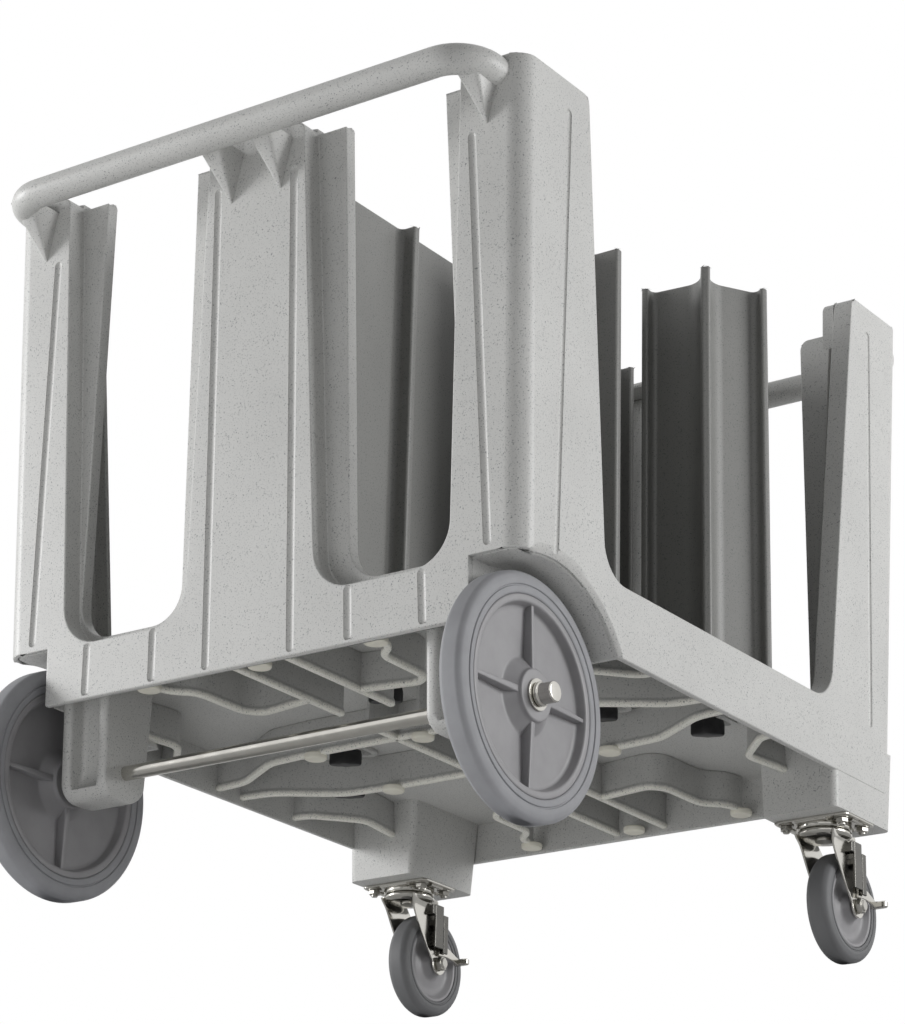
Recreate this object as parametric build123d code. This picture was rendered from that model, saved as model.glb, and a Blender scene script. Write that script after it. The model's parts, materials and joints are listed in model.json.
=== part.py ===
from build123d import *
import os
from math import acos, cos, pi, sin, sqrt, tan

os.makedirs("parts", exist_ok=True)

# All sizes in mm. +Z is up, X is the width, Y the length. The origin lies on the floor under the
# middle of the cart. The large fixed wheels are at the -Y end, the swivel casters at the +Y end.

# ---------------------------------------------------------------- moulded body, driving sizes
Z_SKIRT = 197.0          # lower edge of the side rails and end panels
Z_TOP = 800.0            # top of the posts
Z_SPLIT = 330.0          # level at which the posts stand on the end frames
HALF_W = 342.0           # outer half width at the skirt
HALF_L = 387.0           # outer half length at the skirt
DRAFT_W = 0.019          # the sides lean out by this much per mm of height
DRAFT_L = 0.048          # the ends lean out by this much per mm of height
CORNER_R = 24.0          # radius of the vertical corners
WALL = 6.0               # wall of the posts
SKIRT_WALL = 7.0         # wall of the skirt
STEP = 25.0              # depth from the outer face to the lip layer
LIP = 16.0               # thickness of the lip layer
LIP_BACK = STEP + LIP
DECK_TOP = 255.0
DECK_T = 8.0
DECK_LOW = DECK_TOP - DECK_T

# openings of the walls: lines of their two sides at the foot (z = 330) and at the top
MID_FACE = (84.0, 66.0)
MID_LIP = (112.0, 104.0)
CORNER_FACE = (HALF_W - 85.0, HALF_W - 70.0)
CORNER_LIP = (HALF_W - 89.0, HALF_W - 107.0)
SIDE_FACE = (HALF_L - 144.0, HALF_L - 95.0)
SIDE_LIP = (HALF_L - 99.0, HALF_L - 95.0)
COLUMN_CUT = (MID_LIP[0] + CORNER_LIP[0]) / 2
END_CUT = HALF_L - 87.0
END_SILL = 260.0
END_LIP_SILL = 273.0
SIDE_SILL = 275.0
TOP_ROUND = 12.0

# handles
BAR_R = 16.5
BAR_OUT = 50.0           # from the end face to the middle of the bar
BAR_DROP = 17.0          # from the top of the posts to the middle of the bar
BAR_Z = Z_TOP - BAR_DROP
BAR_END = HALF_W - 25.0  # middle of the turned ends
BAR_BEND = 42.0
BAR_STRAIGHT = BAR_END - BAR_BEND

# rear axle and large wheels
WHEEL_R = 127.0
AXLE_Y = 60.0 - HALF_L
AXLE_Z = WHEEL_R
AXLE_R = 8.0
RUN_FIT = 0.05           # radial clearance of running fits
SEAT_FIT = 0.02          # radial clearance of seated parts
WHEEL_OUT = HALF_W - 24.0  # outer face of the tyre
WHEEL_T = 29.0
WHEEL_IN = WHEEL_OUT - WHEEL_T
RIM_R = 103.0
HUB_R = 27.0
ARCH_R = 138.0
WELL_IN = WHEEL_IN - 10.0
WELL_T = 5.0
WELL_ROOF = 262.0
BRACKET_IN = WELL_IN - 69.0
BRACKET_HALF = 40.0
BRACKET_LOW = 98.0

# swivel casters
CASTER_X = HALF_W - 49.0
CASTER_Y = HALF_L - 80.0
CASTER_TOP = 154.6
CASTER_R = 63.5
CASTER_T = 30.0
CASTER_TRAIL = 38.0
HOUSING = (CASTER_X - 48.0, CASTER_Y - 60.0)  # inner corner of the caster housing

# dividers; the clamp stud of each stands at its origin, the fin of a tower points along +X
TOWER_TOP = Z_TOP - 10.0
TOWER_T = 7.0
TOWER_FIN = 22.0         # from the stud to the end of the fin
TOWER_ROOT = 20.6        # from the stud back to the meeting line of the two wings
WING_TURN = 116.6        # angle between fin and wing
WING_LEN = 68.0          # from the meeting line to the lip
LIP_LEN = 15.0
LIP_T = 9.0
FIN_HALF = 5.5
PANEL_HALF = 156.0       # half length of a middle panel
PANEL_RIB = 23.5         # reach of its rib and end lips
DECK_GAP = 0.2
SLOT_W = 12.4
SLOT_L = 92.0
SLIDE = 36.0
RIM_T = 4.0
STUD_R = 5.0
TOWERS = [
    # name, stud x, stud y, direction of the fin
    ("front_right", 246.0, 127.0, -58.0),
    ("front_left", -250.0, 121.0, 238.0),
    ("middle_right", 174.0, 18.0, 0.0),
    ("middle_left", -174.0, 12.0, 180.0),
]
PANELS = [
    # name, stud x, stud y
    ("rear_centre", 6.5, 1.0 - PANEL_HALF),
    ("front_centre", 6.5, 4.0 + PANEL_HALF),
]


FRONT_PLANE = Plane(origin=(0, 0, 0), x_dir=(1, 0, 0), z_dir=(0, -1, 0))
SIDE_PLANE = Plane(origin=(0, 0, 0), x_dir=(0, 1, 0), z_dir=(1, 0, 0))
REACH = 2 * HALF_L


def half_w(z):
    """Outer half width at the height z."""
    return HALF_W + DRAFT_W * (z - Z_SKIRT)


def half_l(z):
    """Outer half length at the height z."""
    return HALF_L + DRAFT_L * (z - Z_SKIRT)


BAR_Y = half_l(BAR_Z) + BAR_OUT


def along(pair, z):
    """Value on the line through pair[0] at the split level and pair[1] at the top."""
    return pair[0] + (pair[1] - pair[0]) * (z - Z_SPLIT) / (Z_TOP - Z_SPLIT)


def drafted(inset, z0, z1):
    """Drafted rounded block, the outer form of the body moved in by inset, from z0 to z1."""
    radius = max(3.0, CORNER_R - inset)
    w0, w1 = half_w(z0) - inset, half_w(z1) - inset
    l0, l1 = half_l(z0) - inset, half_l(z1) - inset
    across = Polygon((-w0, z0), (w0, z0), (w1, z1), (-w1, z1), align=None)
    endways = Polygon((-l0, z0), (l0, z0), (l1, z1), (-l1, z1), align=None)
    form = extrude(FRONT_PLANE * across, 2 * l1, both=True)
    form = form & extrude(SIDE_PLANE * endways, 2 * w1, both=True)
    upright = [e for e in form.edges() if abs(e.bounding_box().size.Z - (z1 - z0)) < 0.1]
    return fillet(upright, radius)


def block(x0, x1, y0, y1, z0, z1):
    """Plain block between two corners."""
    size = Box(x1 - x0, y1 - y0, z1 - z0)
    return Pos((x0 + x1) / 2, (y0 + y1) / 2, (z0 + z1) / 2) * size


def rod_x(radius, x0, x1, y, z):
    """Round bar along X."""
    return Pos((x0 + x1) / 2, y, z) * Rot(0, 90, 0) * Cylinder(radius, x1 - x0)


def rod_z(radius, z0, z1, x=0.0, y=0.0):
    """Round bar along Z."""
    return Pos(x, y, (z0 + z1) / 2) * Cylinder(radius, z1 - z0)


def window(plane, left, right, sill, radius, reach):
    """Prism of an opening whose two sides run along the lines left and right down to the sill.

    The two lower corners and the two free corners at the top of the posts are rounded.
    """
    top_l = along(left, Z_TOP)
    top_r = along(right, Z_TOP)
    flare = TOP_ROUND + 6.0
    points = [
        (top_l - flare, Z_TOP + 60.0),
        (top_l - flare, Z_TOP),
        (top_l, Z_TOP),
        (along(left, sill), sill),
        (along(right, sill), sill),
        (top_r, Z_TOP),
        (top_r + flare, Z_TOP),
        (top_r + flare, Z_TOP + 60.0),
    ]
    with BuildPart() as part:
        with BuildSketch(plane) as sketch:
            with BuildLine():
                Polyline(*points, close=True)
            make_face()
            fillet(sketch.vertices().group_by(Axis.Y)[0], radius)
            free = [v for v in sketch.vertices() if abs(v.Y - Z_TOP) < 0.5]
            fillet([v for v in free if min(abs(v.X - top_l), abs(v.X - top_r)) < 0.5], TOP_ROUND)
        extrude(amount=reach, both=True)
    return part.part


def mirrored(pair):
    """The same line on the other side of the middle plane."""
    return (-pair[0], -pair[1])


def grown(pair, amount):
    """The same line moved outwards by amount."""
    return (pair[0] + amount, pair[1] + amount)




def end_windows(face_mid, face_corner, sill, radius):
    """Both openings of the end walls, cut through the two ends at once."""
    right = window(FRONT_PLANE, face_mid, face_corner, sill, radius, REACH)
    left = window(FRONT_PLANE, mirrored(face_corner), mirrored(face_mid), sill, radius, REACH)
    return right + left


def bead(start, stop, outward, half=4.0, height=2.2):
    """Raised line on a wall from start to stop, a trapezoid ridge sunk one millimetre in."""
    axis = stop - start
    across = axis.cross(outward)
    plane = Plane(origin=start, x_dir=across, z_dir=axis)
    up = 1.0 if plane.y_dir.dot(outward) > 0 else -1.0
    profile = Polygon(
        (-half - 0.6, -up),
        (half + 0.6, -up),
        (half - 1.6, up * height),
        (-half + 1.6, up * height),
        align=None,
    )
    return extrude(plane * profile, axis.length, dir=axis.normalized())


def end_bead(x, y_sign, z0, z1):
    """Raised line up an end wall; it leans to the middle with the taper of the posts."""
    start = Vector(x, y_sign * half_l(z0), z0)
    lean = x * (1.0 - 0.07 * (z1 - z0) / (Z_TOP - Z_SKIRT))
    return bead(start, Vector(lean, y_sign * half_l(z1), z1), Vector(0, y_sign, 0))


def side_bead(x_sign, y, z0, z1):
    """Raised line up a corner post on the long side."""
    start = Vector(x_sign * half_w(z0), y, z0)
    return bead(start, Vector(x_sign * half_w(z1), y, z1), Vector(x_sign, 0, 0))


def flare():
    """Rounded widening of a wheel arch towards the side face, turned about the axle."""
    face = half_w(AXLE_Z + ARCH_R)
    profile = Polygon(
        (face - 12.0, 0.0),
        (face - 12.0, ARCH_R),
        (face - 5.0, ARCH_R + 2.0),
        (face - 1.5, ARCH_R + 6.0),
        (face, ARCH_R + 11.0),
        (face + 10.0, ARCH_R + 11.0),
        (face + 10.0, 0.0),
        align=None,
    )
    return Pos(0, AXLE_Y, AXLE_Z) * revolve(Plane.XY * profile, Axis.X)


# ---------------------------------------------------------------- body shell
outer = drafted(0.0, Z_SKIRT, Z_TOP)
at_step = drafted(STEP, Z_SKIRT - 10.0, Z_TOP + 10.0)
at_back = drafted(LIP_BACK, Z_SKIRT - 10.0, Z_TOP + 10.0)
side_window = window(SIDE_PLANE, mirrored(SIDE_FACE), SIDE_FACE, SIDE_SILL, 42.0, REACH)
side_clear = window(SIDE_PLANE, mirrored(SIDE_LIP), SIDE_LIP, SIDE_SILL, 20.0, REACH)
end_wide = end_windows(MID_FACE, CORNER_FACE, END_SILL, 46.0)
end_clear = end_windows(MID_LIP, CORNER_LIP, END_LIP_SILL, 40.0)

face_layer = (outer - at_step) - end_wide - side_window
lip_layer = ((outer & at_step) - at_back) - end_clear - side_clear

# room inside the channels of the posts, and inside the skirt below the deck
post_room = drafted(WALL, DECK_TOP, Z_TOP - WALL)
corner_keep = end_windows(
    (MID_FACE[0] - WALL, MID_FACE[1] - WALL),
    (CORNER_FACE[0] + WALL, CORNER_FACE[1] + WALL),
    DECK_TOP - 20.0,
    3.0,
)
side_keep = window(SIDE_PLANE, mirrored(grown(SIDE_FACE, WALL)), grown(SIDE_FACE, WALL), DECK_TOP - 20.0, 3.0, REACH)
post_room = post_room - corner_keep - side_keep
skirt_room = drafted(SKIRT_WALL, Z_SKIRT - 5.0, DECK_TOP)

# wheel wells
BEYOND = HALF_W + 58.0
well_space = rod_x(ARCH_R, WELL_IN, BEYOND, AXLE_Y, AXLE_Z)
well_space += block(WELL_IN, BEYOND, AXLE_Y - ARCH_R - 2.0, AXLE_Y, 60.0, WELL_ROOF)
well_space += flare()
well_space += mirror(well_space, about=Plane.YZ)

shell = (face_layer + lip_layer) - post_room - skirt_room - well_space
for y_sign in (-1, 1):
    dip = rod_x(20.0, -HALF_W, HALF_W, y_sign * (half_l(Z_TOP) - STEP), Z_TOP + 12.0)
    for x0, x1 in ((MID_FACE[1] - 1.0, COLUMN_CUT), (COLUMN_CUT, CORNER_FACE[1] + 1.0)):
        shell -= dip & block(x0, x1, -REACH, REACH, Z_TOP - 20.0, Z_TOP + 1.0)
        shell -= dip & block(-x1, -x0, -REACH, REACH, Z_TOP - 20.0, Z_TOP + 1.0)
BIG = 900.0
posts = shell & block(-BIG, BIG, -BIG, BIG, Z_SPLIT, BIG)
base = shell & block(-BIG, BIG, -BIG, BIG, 0, Z_SPLIT)
column = {
    "rear_left_corner_post": block(-BIG, -COLUMN_CUT, -BIG, 0, 0, BIG),
    "rear_middle_post": block(-COLUMN_CUT, COLUMN_CUT, -BIG, 0, 0, BIG),
    "rear_right_corner_post": block(COLUMN_CUT, BIG, -BIG, 0, 0, BIG),
    "front_left_corner_post": block(-BIG, -COLUMN_CUT, 0, BIG, 0, BIG),
    "front_middle_post": block(-COLUMN_CUT, COLUMN_CUT, 0, BIG, 0, BIG),
    "front_right_corner_post": block(COLUMN_CUT, BIG, 0, BIG, 0, BIG),
}
upper = block(-BIG, BIG, -BIG, BIG, Z_SPLIT, BIG)
lower = block(-BIG, BIG, -BIG, BIG, Z_SKIRT, Z_SPLIT)
node = {}
for name, region in column.items():
    node[name] = posts & region
node["rear_end_panel"] = base & block(-BIG, BIG, -BIG, -END_CUT, 0, BIG)
node["front_end_panel"] = base & block(-BIG, BIG, END_CUT, BIG, 0, BIG)
node["side_rails"] = base & block(-BIG, BIG, -END_CUT, END_CUT, 0, BIG)

for end, sign in (("rear", -1), ("front", 1)):
    for x in (-56.0, 56.0):
        ridge = end_bead(x, sign, Z_SKIRT + 6.0, Z_TOP - 58.0)
        node[end + "_middle_post"] += ridge & upper
        node[end + "_end_panel"] += ridge & lower
    for x in (-223.0, -130.0, 130.0, 223.0):
        node[end + "_end_panel"] += end_bead(x, sign, Z_SKIRT + 4.0, 256.0)
    for side, x_sign in (("left", -1), ("right", 1)):
        post = end + "_" + side + "_corner_post"
        ridge = end_bead(x_sign * (HALF_W - 40.0), sign, 276.0, Z_TOP - 85.0)
        node[post] += ridge & upper
        node[end + "_end_panel"] += ridge & lower
        ridge = side_bead(x_sign, sign * (HALF_L - 57.0), 276.0, Z_TOP - 40.0)
        node[post] += ridge & upper
        node[end + "_end_panel"] += ridge & lower

# lining of the wheel wells, closed to the inside of the cart
lining = rod_x(ARCH_R + WELL_T, WELL_IN - WELL_T, BEYOND, AXLE_Y, AXLE_Z)
lining += block(WELL_IN - WELL_T, BEYOND, AXLE_Y - ARCH_R - 2.0, AXLE_Y, 60.0, WELL_ROOF + WELL_T)
lining += mirror(lining, about=Plane.YZ)
lining = lining & block(-BIG, BIG, -BIG, BIG, Z_SKIRT, BIG)
lining_outer = lining
lining = (lining - well_space) & drafted(SKIRT_WALL, Z_SKIRT, DECK_TOP + 45.0)
lining = lining - (face_layer + lip_layer - post_room - skirt_room)
node["wheel_wells"] = lining

# ---------------------------------------------------------------- handles
def handle(sign):
    """Round bar with bent ends and four tapered corbels under it."""
    x_end = BAR_END
    y_bend = BAR_Y - BAR_BEND
    y_root = half_l(BAR_Z) - 8.0
    with BuildPart() as part:
        with BuildLine() as path:
            Line((-x_end, sign * y_root, BAR_Z), (-x_end, sign * y_bend, BAR_Z))
            arc_mid = BAR_BEND * (1 - cos(pi / 4))
            ThreePointArc(
                (-x_end, sign * y_bend, BAR_Z),
                (-x_end + arc_mid, sign * (BAR_Y - arc_mid), BAR_Z),
                (-BAR_STRAIGHT, sign * BAR_Y, BAR_Z),
            )
            Line((-BAR_STRAIGHT, sign * BAR_Y, BAR_Z), (BAR_STRAIGHT, sign * BAR_Y, BAR_Z))
            ThreePointArc(
                (BAR_STRAIGHT, sign * BAR_Y, BAR_Z),
                (x_end - arc_mid, sign * (BAR_Y - arc_mid), BAR_Z),
                (x_end, sign * y_bend, BAR_Z),
            )
            Line((x_end, sign * y_bend, BAR_Z), (x_end, sign * y_root, BAR_Z))
        with BuildSketch(Plane(origin=path.line @ 0, z_dir=path.line % 0)):
            Circle(BAR_R)
        sweep()
    bar = part.part
    for x in (-BAR_END + 12.0, -34.0, 34.0, BAR_END - 12.0):
        bar += corbel(x, sign)
    return bar - outer


def corbel(x, sign):
    """Tapered web: wide under the bar, running out to a point on the face of the post."""
    z_tip = BAR_Z - 57.0
    y_in = half_l(z_tip) - 4.0
    with BuildPart() as part:
        with BuildSketch(Plane.XY.offset(BAR_Z)):
            with Locations((x, sign * (BAR_Y + y_in) / 2)):
                Rectangle(32.0, BAR_Y - y_in)
        with BuildSketch(Plane.XY.offset(z_tip)):
            with Locations((x, sign * (y_in + 3.0))):
                Rectangle(3.0, 4.0)
        loft(ruled=True)
    return part.part


node["rear_handle"] = handle(-1)
node["front_handle"] = handle(1)

# ---------------------------------------------------------------- deck
deck = drafted(SKIRT_WALL, DECK_LOW, DECK_TOP) - lining_outer
CLAMPS = [(name, x, y, 90.0) for name, x, y, turn in TOWERS]
CLAMPS += [(name, x, y, 0.0) for name, x, y in PANELS]
for name, x, y, along_slot in CLAMPS:
    rim = SlotOverall(SLOT_L + 14.0, SLOT_W + 14.0, rotation=along_slot)
    deck += Pos(x, y, DECK_LOW - RIM_T / 2) * extrude(rim, RIM_T / 2, both=True)
for name, x, y, along_slot in CLAMPS:
    slot = SlotOverall(SLOT_L, SLOT_W, rotation=along_slot)
    deck -= Pos(x, y, DECK_LOW) * extrude(slot, 20.0, both=True)
node["deck"] = deck

# ---------------------------------------------------------------- brackets and caster housings
def bracket(sign):
    """Leg below the deck that carries the axle, drafted and rounded round the axle."""
    foot_r = BRACKET_HALF - 11.0
    with BuildPart() as part:
        with BuildSketch(SIDE_PLANE.offset(BRACKET_IN)) as sketch:
            with BuildLine():
                Polyline(
                    (AXLE_Y - BRACKET_HALF, DECK_LOW),
                    (AXLE_Y - foot_r - 4.0, BRACKET_LOW + 12.0),
                    (AXLE_Y - 16.0, BRACKET_LOW),
                    (AXLE_Y + 16.0, BRACKET_LOW),
                    (AXLE_Y + foot_r + 4.0, BRACKET_LOW + 12.0),
                    (AXLE_Y + BRACKET_HALF, DECK_LOW),
                    close=True,
                )
            make_face()
            fillet(sketch.vertices().group_by(Axis.Y)[0], 10.0)
            fillet([v for v in sketch.vertices() if abs(v.Y - BRACKET_LOW - 12.0) < 0.5], 10.0)
        extrude(amount=WELL_IN - WELL_T - BRACKET_IN)
    body = part.part
    edges = body.edges().filter_by(lambda e: e.center().Z < DECK_LOW - 1.0).group_by(Axis.X)[0]
    body = fillet(edges, 6.0)
    body -= rod_x(AXLE_R + SEAT_FIT, BRACKET_IN - 20.0, WELL_IN + 20.0, AXLE_Y, AXLE_Z)
    if sign < 0:
        body = mirror(body, about=Plane.YZ)
    return body


node["axle_brackets"] = Compound(children=[bracket(-1), bracket(1)])


def housing(sign):
    """Box under the front corner of the deck, with the flat foot the caster plate is bolted to."""
    x_out = half_w(Z_SKIRT) - SKIRT_WALL
    outline = drafted(0.0, Z_SKIRT, DECK_LOW)
    low = half_w(CASTER_TOP)
    with BuildPart() as part:
        with BuildSketch(Plane.XY.offset(CASTER_TOP)) as foot:
            with BuildLine():
                Polyline(
                    (HOUSING[0], HOUSING[1]),
                    (low, HOUSING[1]),
                    (low, half_l(CASTER_TOP) - 8.0),
                    (HOUSING[0], half_l(CASTER_TOP) - 8.0),
                    close=True,
                )
            make_face()
            fillet(foot.vertices(), 8.0)
        with BuildSketch(Plane.XY.offset(DECK_LOW)) as head:
            high = half_w(DECK_LOW)
            with BuildLine():
                Polyline(
                    (HOUSING[0] - 3.0, HOUSING[1] - 3.0),
                    (high, HOUSING[1] - 3.0),
                    (high, half_l(DECK_LOW) - 4.0),
                    (HOUSING[0] - 3.0, half_l(DECK_LOW) - 4.0),
                    close=True,
                )
            make_face()
            fillet(head.vertices(), 8.0)
        loft(ruled=True)
    body = part.part - (outer - skirt_room)
    for dx, dy in CASTER_BOLTS:
        body -= rod_z(4.0 + SEAT_FIT, CASTER_TOP - 1.0, CASTER_TOP + 22.0, CASTER_X + dx, CASTER_Y + dy)
    if sign < 0:
        body = mirror(body, about=Plane.YZ)
    return body


CASTER_BOLTS = [(-36.0, -24.0), (36.0, -24.0), (-36.0, 24.0), (36.0, 24.0)]
node["caster_housings"] = Compound(children=[housing(-1), housing(1)])

# ---------------------------------------------------------------- ribs and pads under the deck
RIB_T = 4.0
RIB_LOW = 203.0
PAD_Z = 199.0


def rib(points, low=RIB_LOW):
    """Thin wall below the deck along a broken line, with a thicker lower edge."""
    near = edge_line(points, RIB_T / 2)
    far = edge_line(points, -RIB_T / 2)
    with BuildPart() as part:
        with BuildSketch(Plane.XY.offset(low)):
            with BuildLine():
                Polyline(*near, *reversed(far), close=True)
            make_face()
        extrude(amount=DECK_LOW - low)
    return part.part


def edge_line(points, shift):
    """Broken line moved sideways by shift, mitred at its corners."""
    moved = []
    for i, (x, y) in enumerate(points):
        before = points[max(i - 1, 0)]
        after = points[min(i + 1, len(points) - 1)]
        a = unit(x - before[0], y - before[1]) if i > 0 else unit(after[0] - x, after[1] - y)
        b = unit(after[0] - x, after[1] - y) if i < len(points) - 1 else a
        mid = unit(a[0] + b[0], a[1] + b[1])
        stretch = shift / (mid[0] * a[0] + mid[1] * a[1])
        moved.append((x - mid[1] * stretch, y + mid[0] * stretch))
    return moved


def unit(dx, dy):
    """Direction of length one."""
    length = sqrt(dx * dx + dy * dy)
    return (dx / length, dy / length)


def cross_line(y, swing, inset=0.0):
    """Broken line across the cart that swings out and back between the pads."""
    reach = half_w(Z_SKIRT) - SKIRT_WALL - inset
    right = [
        (0.16 * HALF_W, y + swing),
        (0.28 * HALF_W, y),
        (0.60 * HALF_W, y),
        (0.70 * HALF_W, y + swing),
        (reach, y + swing),
    ]
    left = [(-x, v) for x, v in reversed(right)]
    return left + right


rib_zone = drafted(SKIRT_WALL, Z_SKIRT + 1.0, DECK_LOW) - lining_outer
for part_name in ("axle_brackets", "caster_housings"):
    for solid in node[part_name].solids():
        rib_zone -= solid
keep_out = None
for name, x, y, along_slot in CLAMPS:
    run = SLIDE + 30.0
    dx, dy = (run, 28.0) if along_slot < 45.0 else (28.0, run)
    clear = block(x - dx, x + dx, y - dy, y + dy, Z_SKIRT, DECK_LOW + 1.0)
    keep_out = clear if keep_out is None else keep_out + clear
rib_solids = []
PAD_X = 0.438 * HALF_W
PAD_MID = 0.194 * HALF_L
PAD_END = HALF_L - 21.0
swing = 0.088 * HALF_L
cross_ribs = [rib(cross_line(-PAD_MID, -swing)), rib(cross_line(PAD_MID, swing))]
cross_ribs += [rib(cross_line(-0.556 * HALF_L, swing)), rib(cross_line(0.59 * HALF_L, -swing))]
long_ribs = []
for x in (-PAD_X, PAD_X, -0.152 * HALF_W, 0.152 * HALF_W):
    long_ribs.append(rib([(x, -half_l(DECK_LOW)), (x, half_l(DECK_LOW))]))
for shape in cross_ribs:
    piece = (shape & rib_zone) - keep_out
    rib_solids += [s for s in piece.solids() if s.volume > 400.0]
crossing = cross_ribs[0]
for shape in cross_ribs[1:]:
    crossing = crossing + shape
for shape in long_ribs:
    piece = ((shape & rib_zone) - keep_out) - crossing
    rib_solids += [s for s in piece.solids() if s.volume > 400.0]
node["underside_ribs"] = Compound(children=rib_solids)

pads = []
for y in (-PAD_END, -PAD_MID, PAD_MID, PAD_END):
    for x in (-PAD_X, PAD_X):
        pads.append(rod_z(11.0, PAD_Z, RIB_LOW, x, y))
node["underside_pads"] = Compound(children=pads)

# ---------------------------------------------------------------- rear axle and large wheels
AXLE_END = WHEEL_OUT + 16.0
node["rear_axle"] = rod_x(AXLE_R, -AXLE_END, AXLE_END, AXLE_Y, AXLE_Z)


def spun(points, x_sign, y, z):
    """Body turned about the X axis from a closed outline of (x, radius) points."""
    with BuildPart() as part:
        with BuildSketch(Plane.XY) as sketch:
            with BuildLine():
                Polyline(*points, close=True)
            make_face()
        revolve(axis=Axis.X)
    body = part.part
    if x_sign < 0:
        body = mirror(body, about=Plane.YZ)
    return Pos(0, y, z) * body


TYRE = [
    (WHEEL_IN + 1.5, RIM_R),
    (WHEEL_IN, RIM_R + 1.5),
    (WHEEL_IN, RIM_R + 15.0),
    (WHEEL_IN + 3.0, RIM_R + 18.0),
    (WHEEL_IN + 4.0, WHEEL_R - 2.5),
    (WHEEL_IN + 7.0, WHEEL_R),
    (WHEEL_OUT - 7.0, WHEEL_R),
    (WHEEL_OUT - 4.0, WHEEL_R - 2.5),
    (WHEEL_OUT - 3.0, RIM_R + 18.0),
    (WHEEL_OUT, RIM_R + 15.0),
    (WHEEL_OUT, RIM_R + 1.5),
    (WHEEL_OUT - 1.5, RIM_R),
]
HUB_IN = WHEEL_IN - 3.0
HUB_OUT = WHEEL_OUT + 3.0
WEB_MID = (WHEEL_IN + WHEEL_OUT) / 2
SLEEVE_R = 12.0
CORE = [
    (HUB_IN, SLEEVE_R + SEAT_FIT),
    (HUB_IN, HUB_R - 2.0),
    (HUB_IN + 2.0, HUB_R),
    (WEB_MID - 4.0, HUB_R + 6.0),
    (WEB_MID - 3.0, RIM_R - 13.0),
    (WHEEL_IN + 1.0, RIM_R - 8.0),
    (WHEEL_IN + 1.0, RIM_R - 0.05),
    (WHEEL_OUT - 1.0, RIM_R - 0.05),
    (WHEEL_OUT - 1.0, RIM_R - 8.0),
    (WEB_MID + 3.0, RIM_R - 13.0),
    (WEB_MID + 4.0, HUB_R + 6.0),
    (HUB_OUT - 2.0, HUB_R),
    (HUB_OUT, HUB_R - 2.0),
    (HUB_OUT, SLEEVE_R + SEAT_FIT),
]


def wheel_core(sign):
    """Plastic wheel centre: rim, dished web, hub and four tapered spokes on each side."""
    core = spun(CORE, 1, 0, 0)
    for quarter in range(4):
        turn = 90.0 * quarter
        spoke = wheel_spoke(WEB_MID, WHEEL_OUT - 4.0) + wheel_spoke(WEB_MID, WHEEL_IN + 4.0)
        core += Rot(turn, 0, 0) * spoke
    core -= rod_x(SLEEVE_R + SEAT_FIT, HUB_IN - 5.0, HUB_OUT + 5.0, 0, 0)
    if sign < 0:
        core = mirror(core, about=Plane.YZ)
    return Pos(0, AXLE_Y, AXLE_Z) * core


def wheel_spoke(x0, x1):
    """Radial web, thick at the hub and thin at the rim."""
    with BuildPart() as part:
        with BuildSketch(Plane.XY.offset(HUB_R - 4.0)):
            with Locations(((x0 + x1) / 2, 0)):
                Rectangle(abs(x1 - x0), 12.0)
        with BuildSketch(Plane.XY.offset(RIM_R - 6.0)):
            with Locations(((x0 + x1) / 2, 0)):
                Rectangle(abs(x1 - x0), 5.0)
        loft(ruled=True)
    return part.part


SLEEVE = [
    (HUB_IN - 2.5, AXLE_R + RUN_FIT),
    (HUB_IN - 2.5, SLEEVE_R + 4.0),
    (HUB_IN, SLEEVE_R + 4.0),
    (HUB_IN, SLEEVE_R),
    (HUB_OUT, SLEEVE_R),
    (HUB_OUT, SLEEVE_R + 4.0),
    (HUB_OUT + 2.5, SLEEVE_R + 4.0),
    (HUB_OUT + 2.5, AXLE_R + RUN_FIT),
]
NUT_IN = HUB_OUT + 3.0


def cap_nut(sign):
    """Domed cap nut pushed on the end of the axle."""
    hexagon = Plane.YZ.offset(NUT_IN) * RegularPolygon(13.0, 6)
    nut = extrude(hexagon, 9.0)
    dome = Pos(NUT_IN + 7.0, 0, 0) * Rot(0, 90, 0) * Sphere(10.5)
    nut = nut + (dome & block(NUT_IN + 6.0, NUT_IN + 40.0, -20, 20, -20, 20))
    nut -= rod_x(AXLE_R + SEAT_FIT, NUT_IN - 1.0, AXLE_END + 0.02, 0, 0)
    if sign < 0:
        nut = mirror(nut, about=Plane.YZ)
    return Pos(0, AXLE_Y, AXLE_Z) * nut


for side, sign in (("left", -1), ("right", 1)):
    node[side + "_wheel_tyre"] = spun(TYRE, sign, AXLE_Y, AXLE_Z)
    node[side + "_wheel_core"] = wheel_core(sign)
    node[side + "_wheel_sleeve"] = spun(SLEEVE, sign, AXLE_Y, AXLE_Z)
node["axle_cap_nuts"] = Compound(children=[cap_nut(-1), cap_nut(1)])

# ---------------------------------------------------------------- swivel casters
PLATE_T = 3.0
PLATE_LOW = CASTER_TOP - PLATE_T
RACE_R = 28.0
RACE_H = 8.0
CROWN_TOP = PLATE_LOW - RACE_H - 0.3
CROWN_T = 3.0
FORK_IN = 18.5
FORK_T = 3.0
FORK_OUT = FORK_IN + FORK_T
PIN_R = 7.0
BOLT_R = 5.0
CASTER_RIM = 46.0


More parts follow.
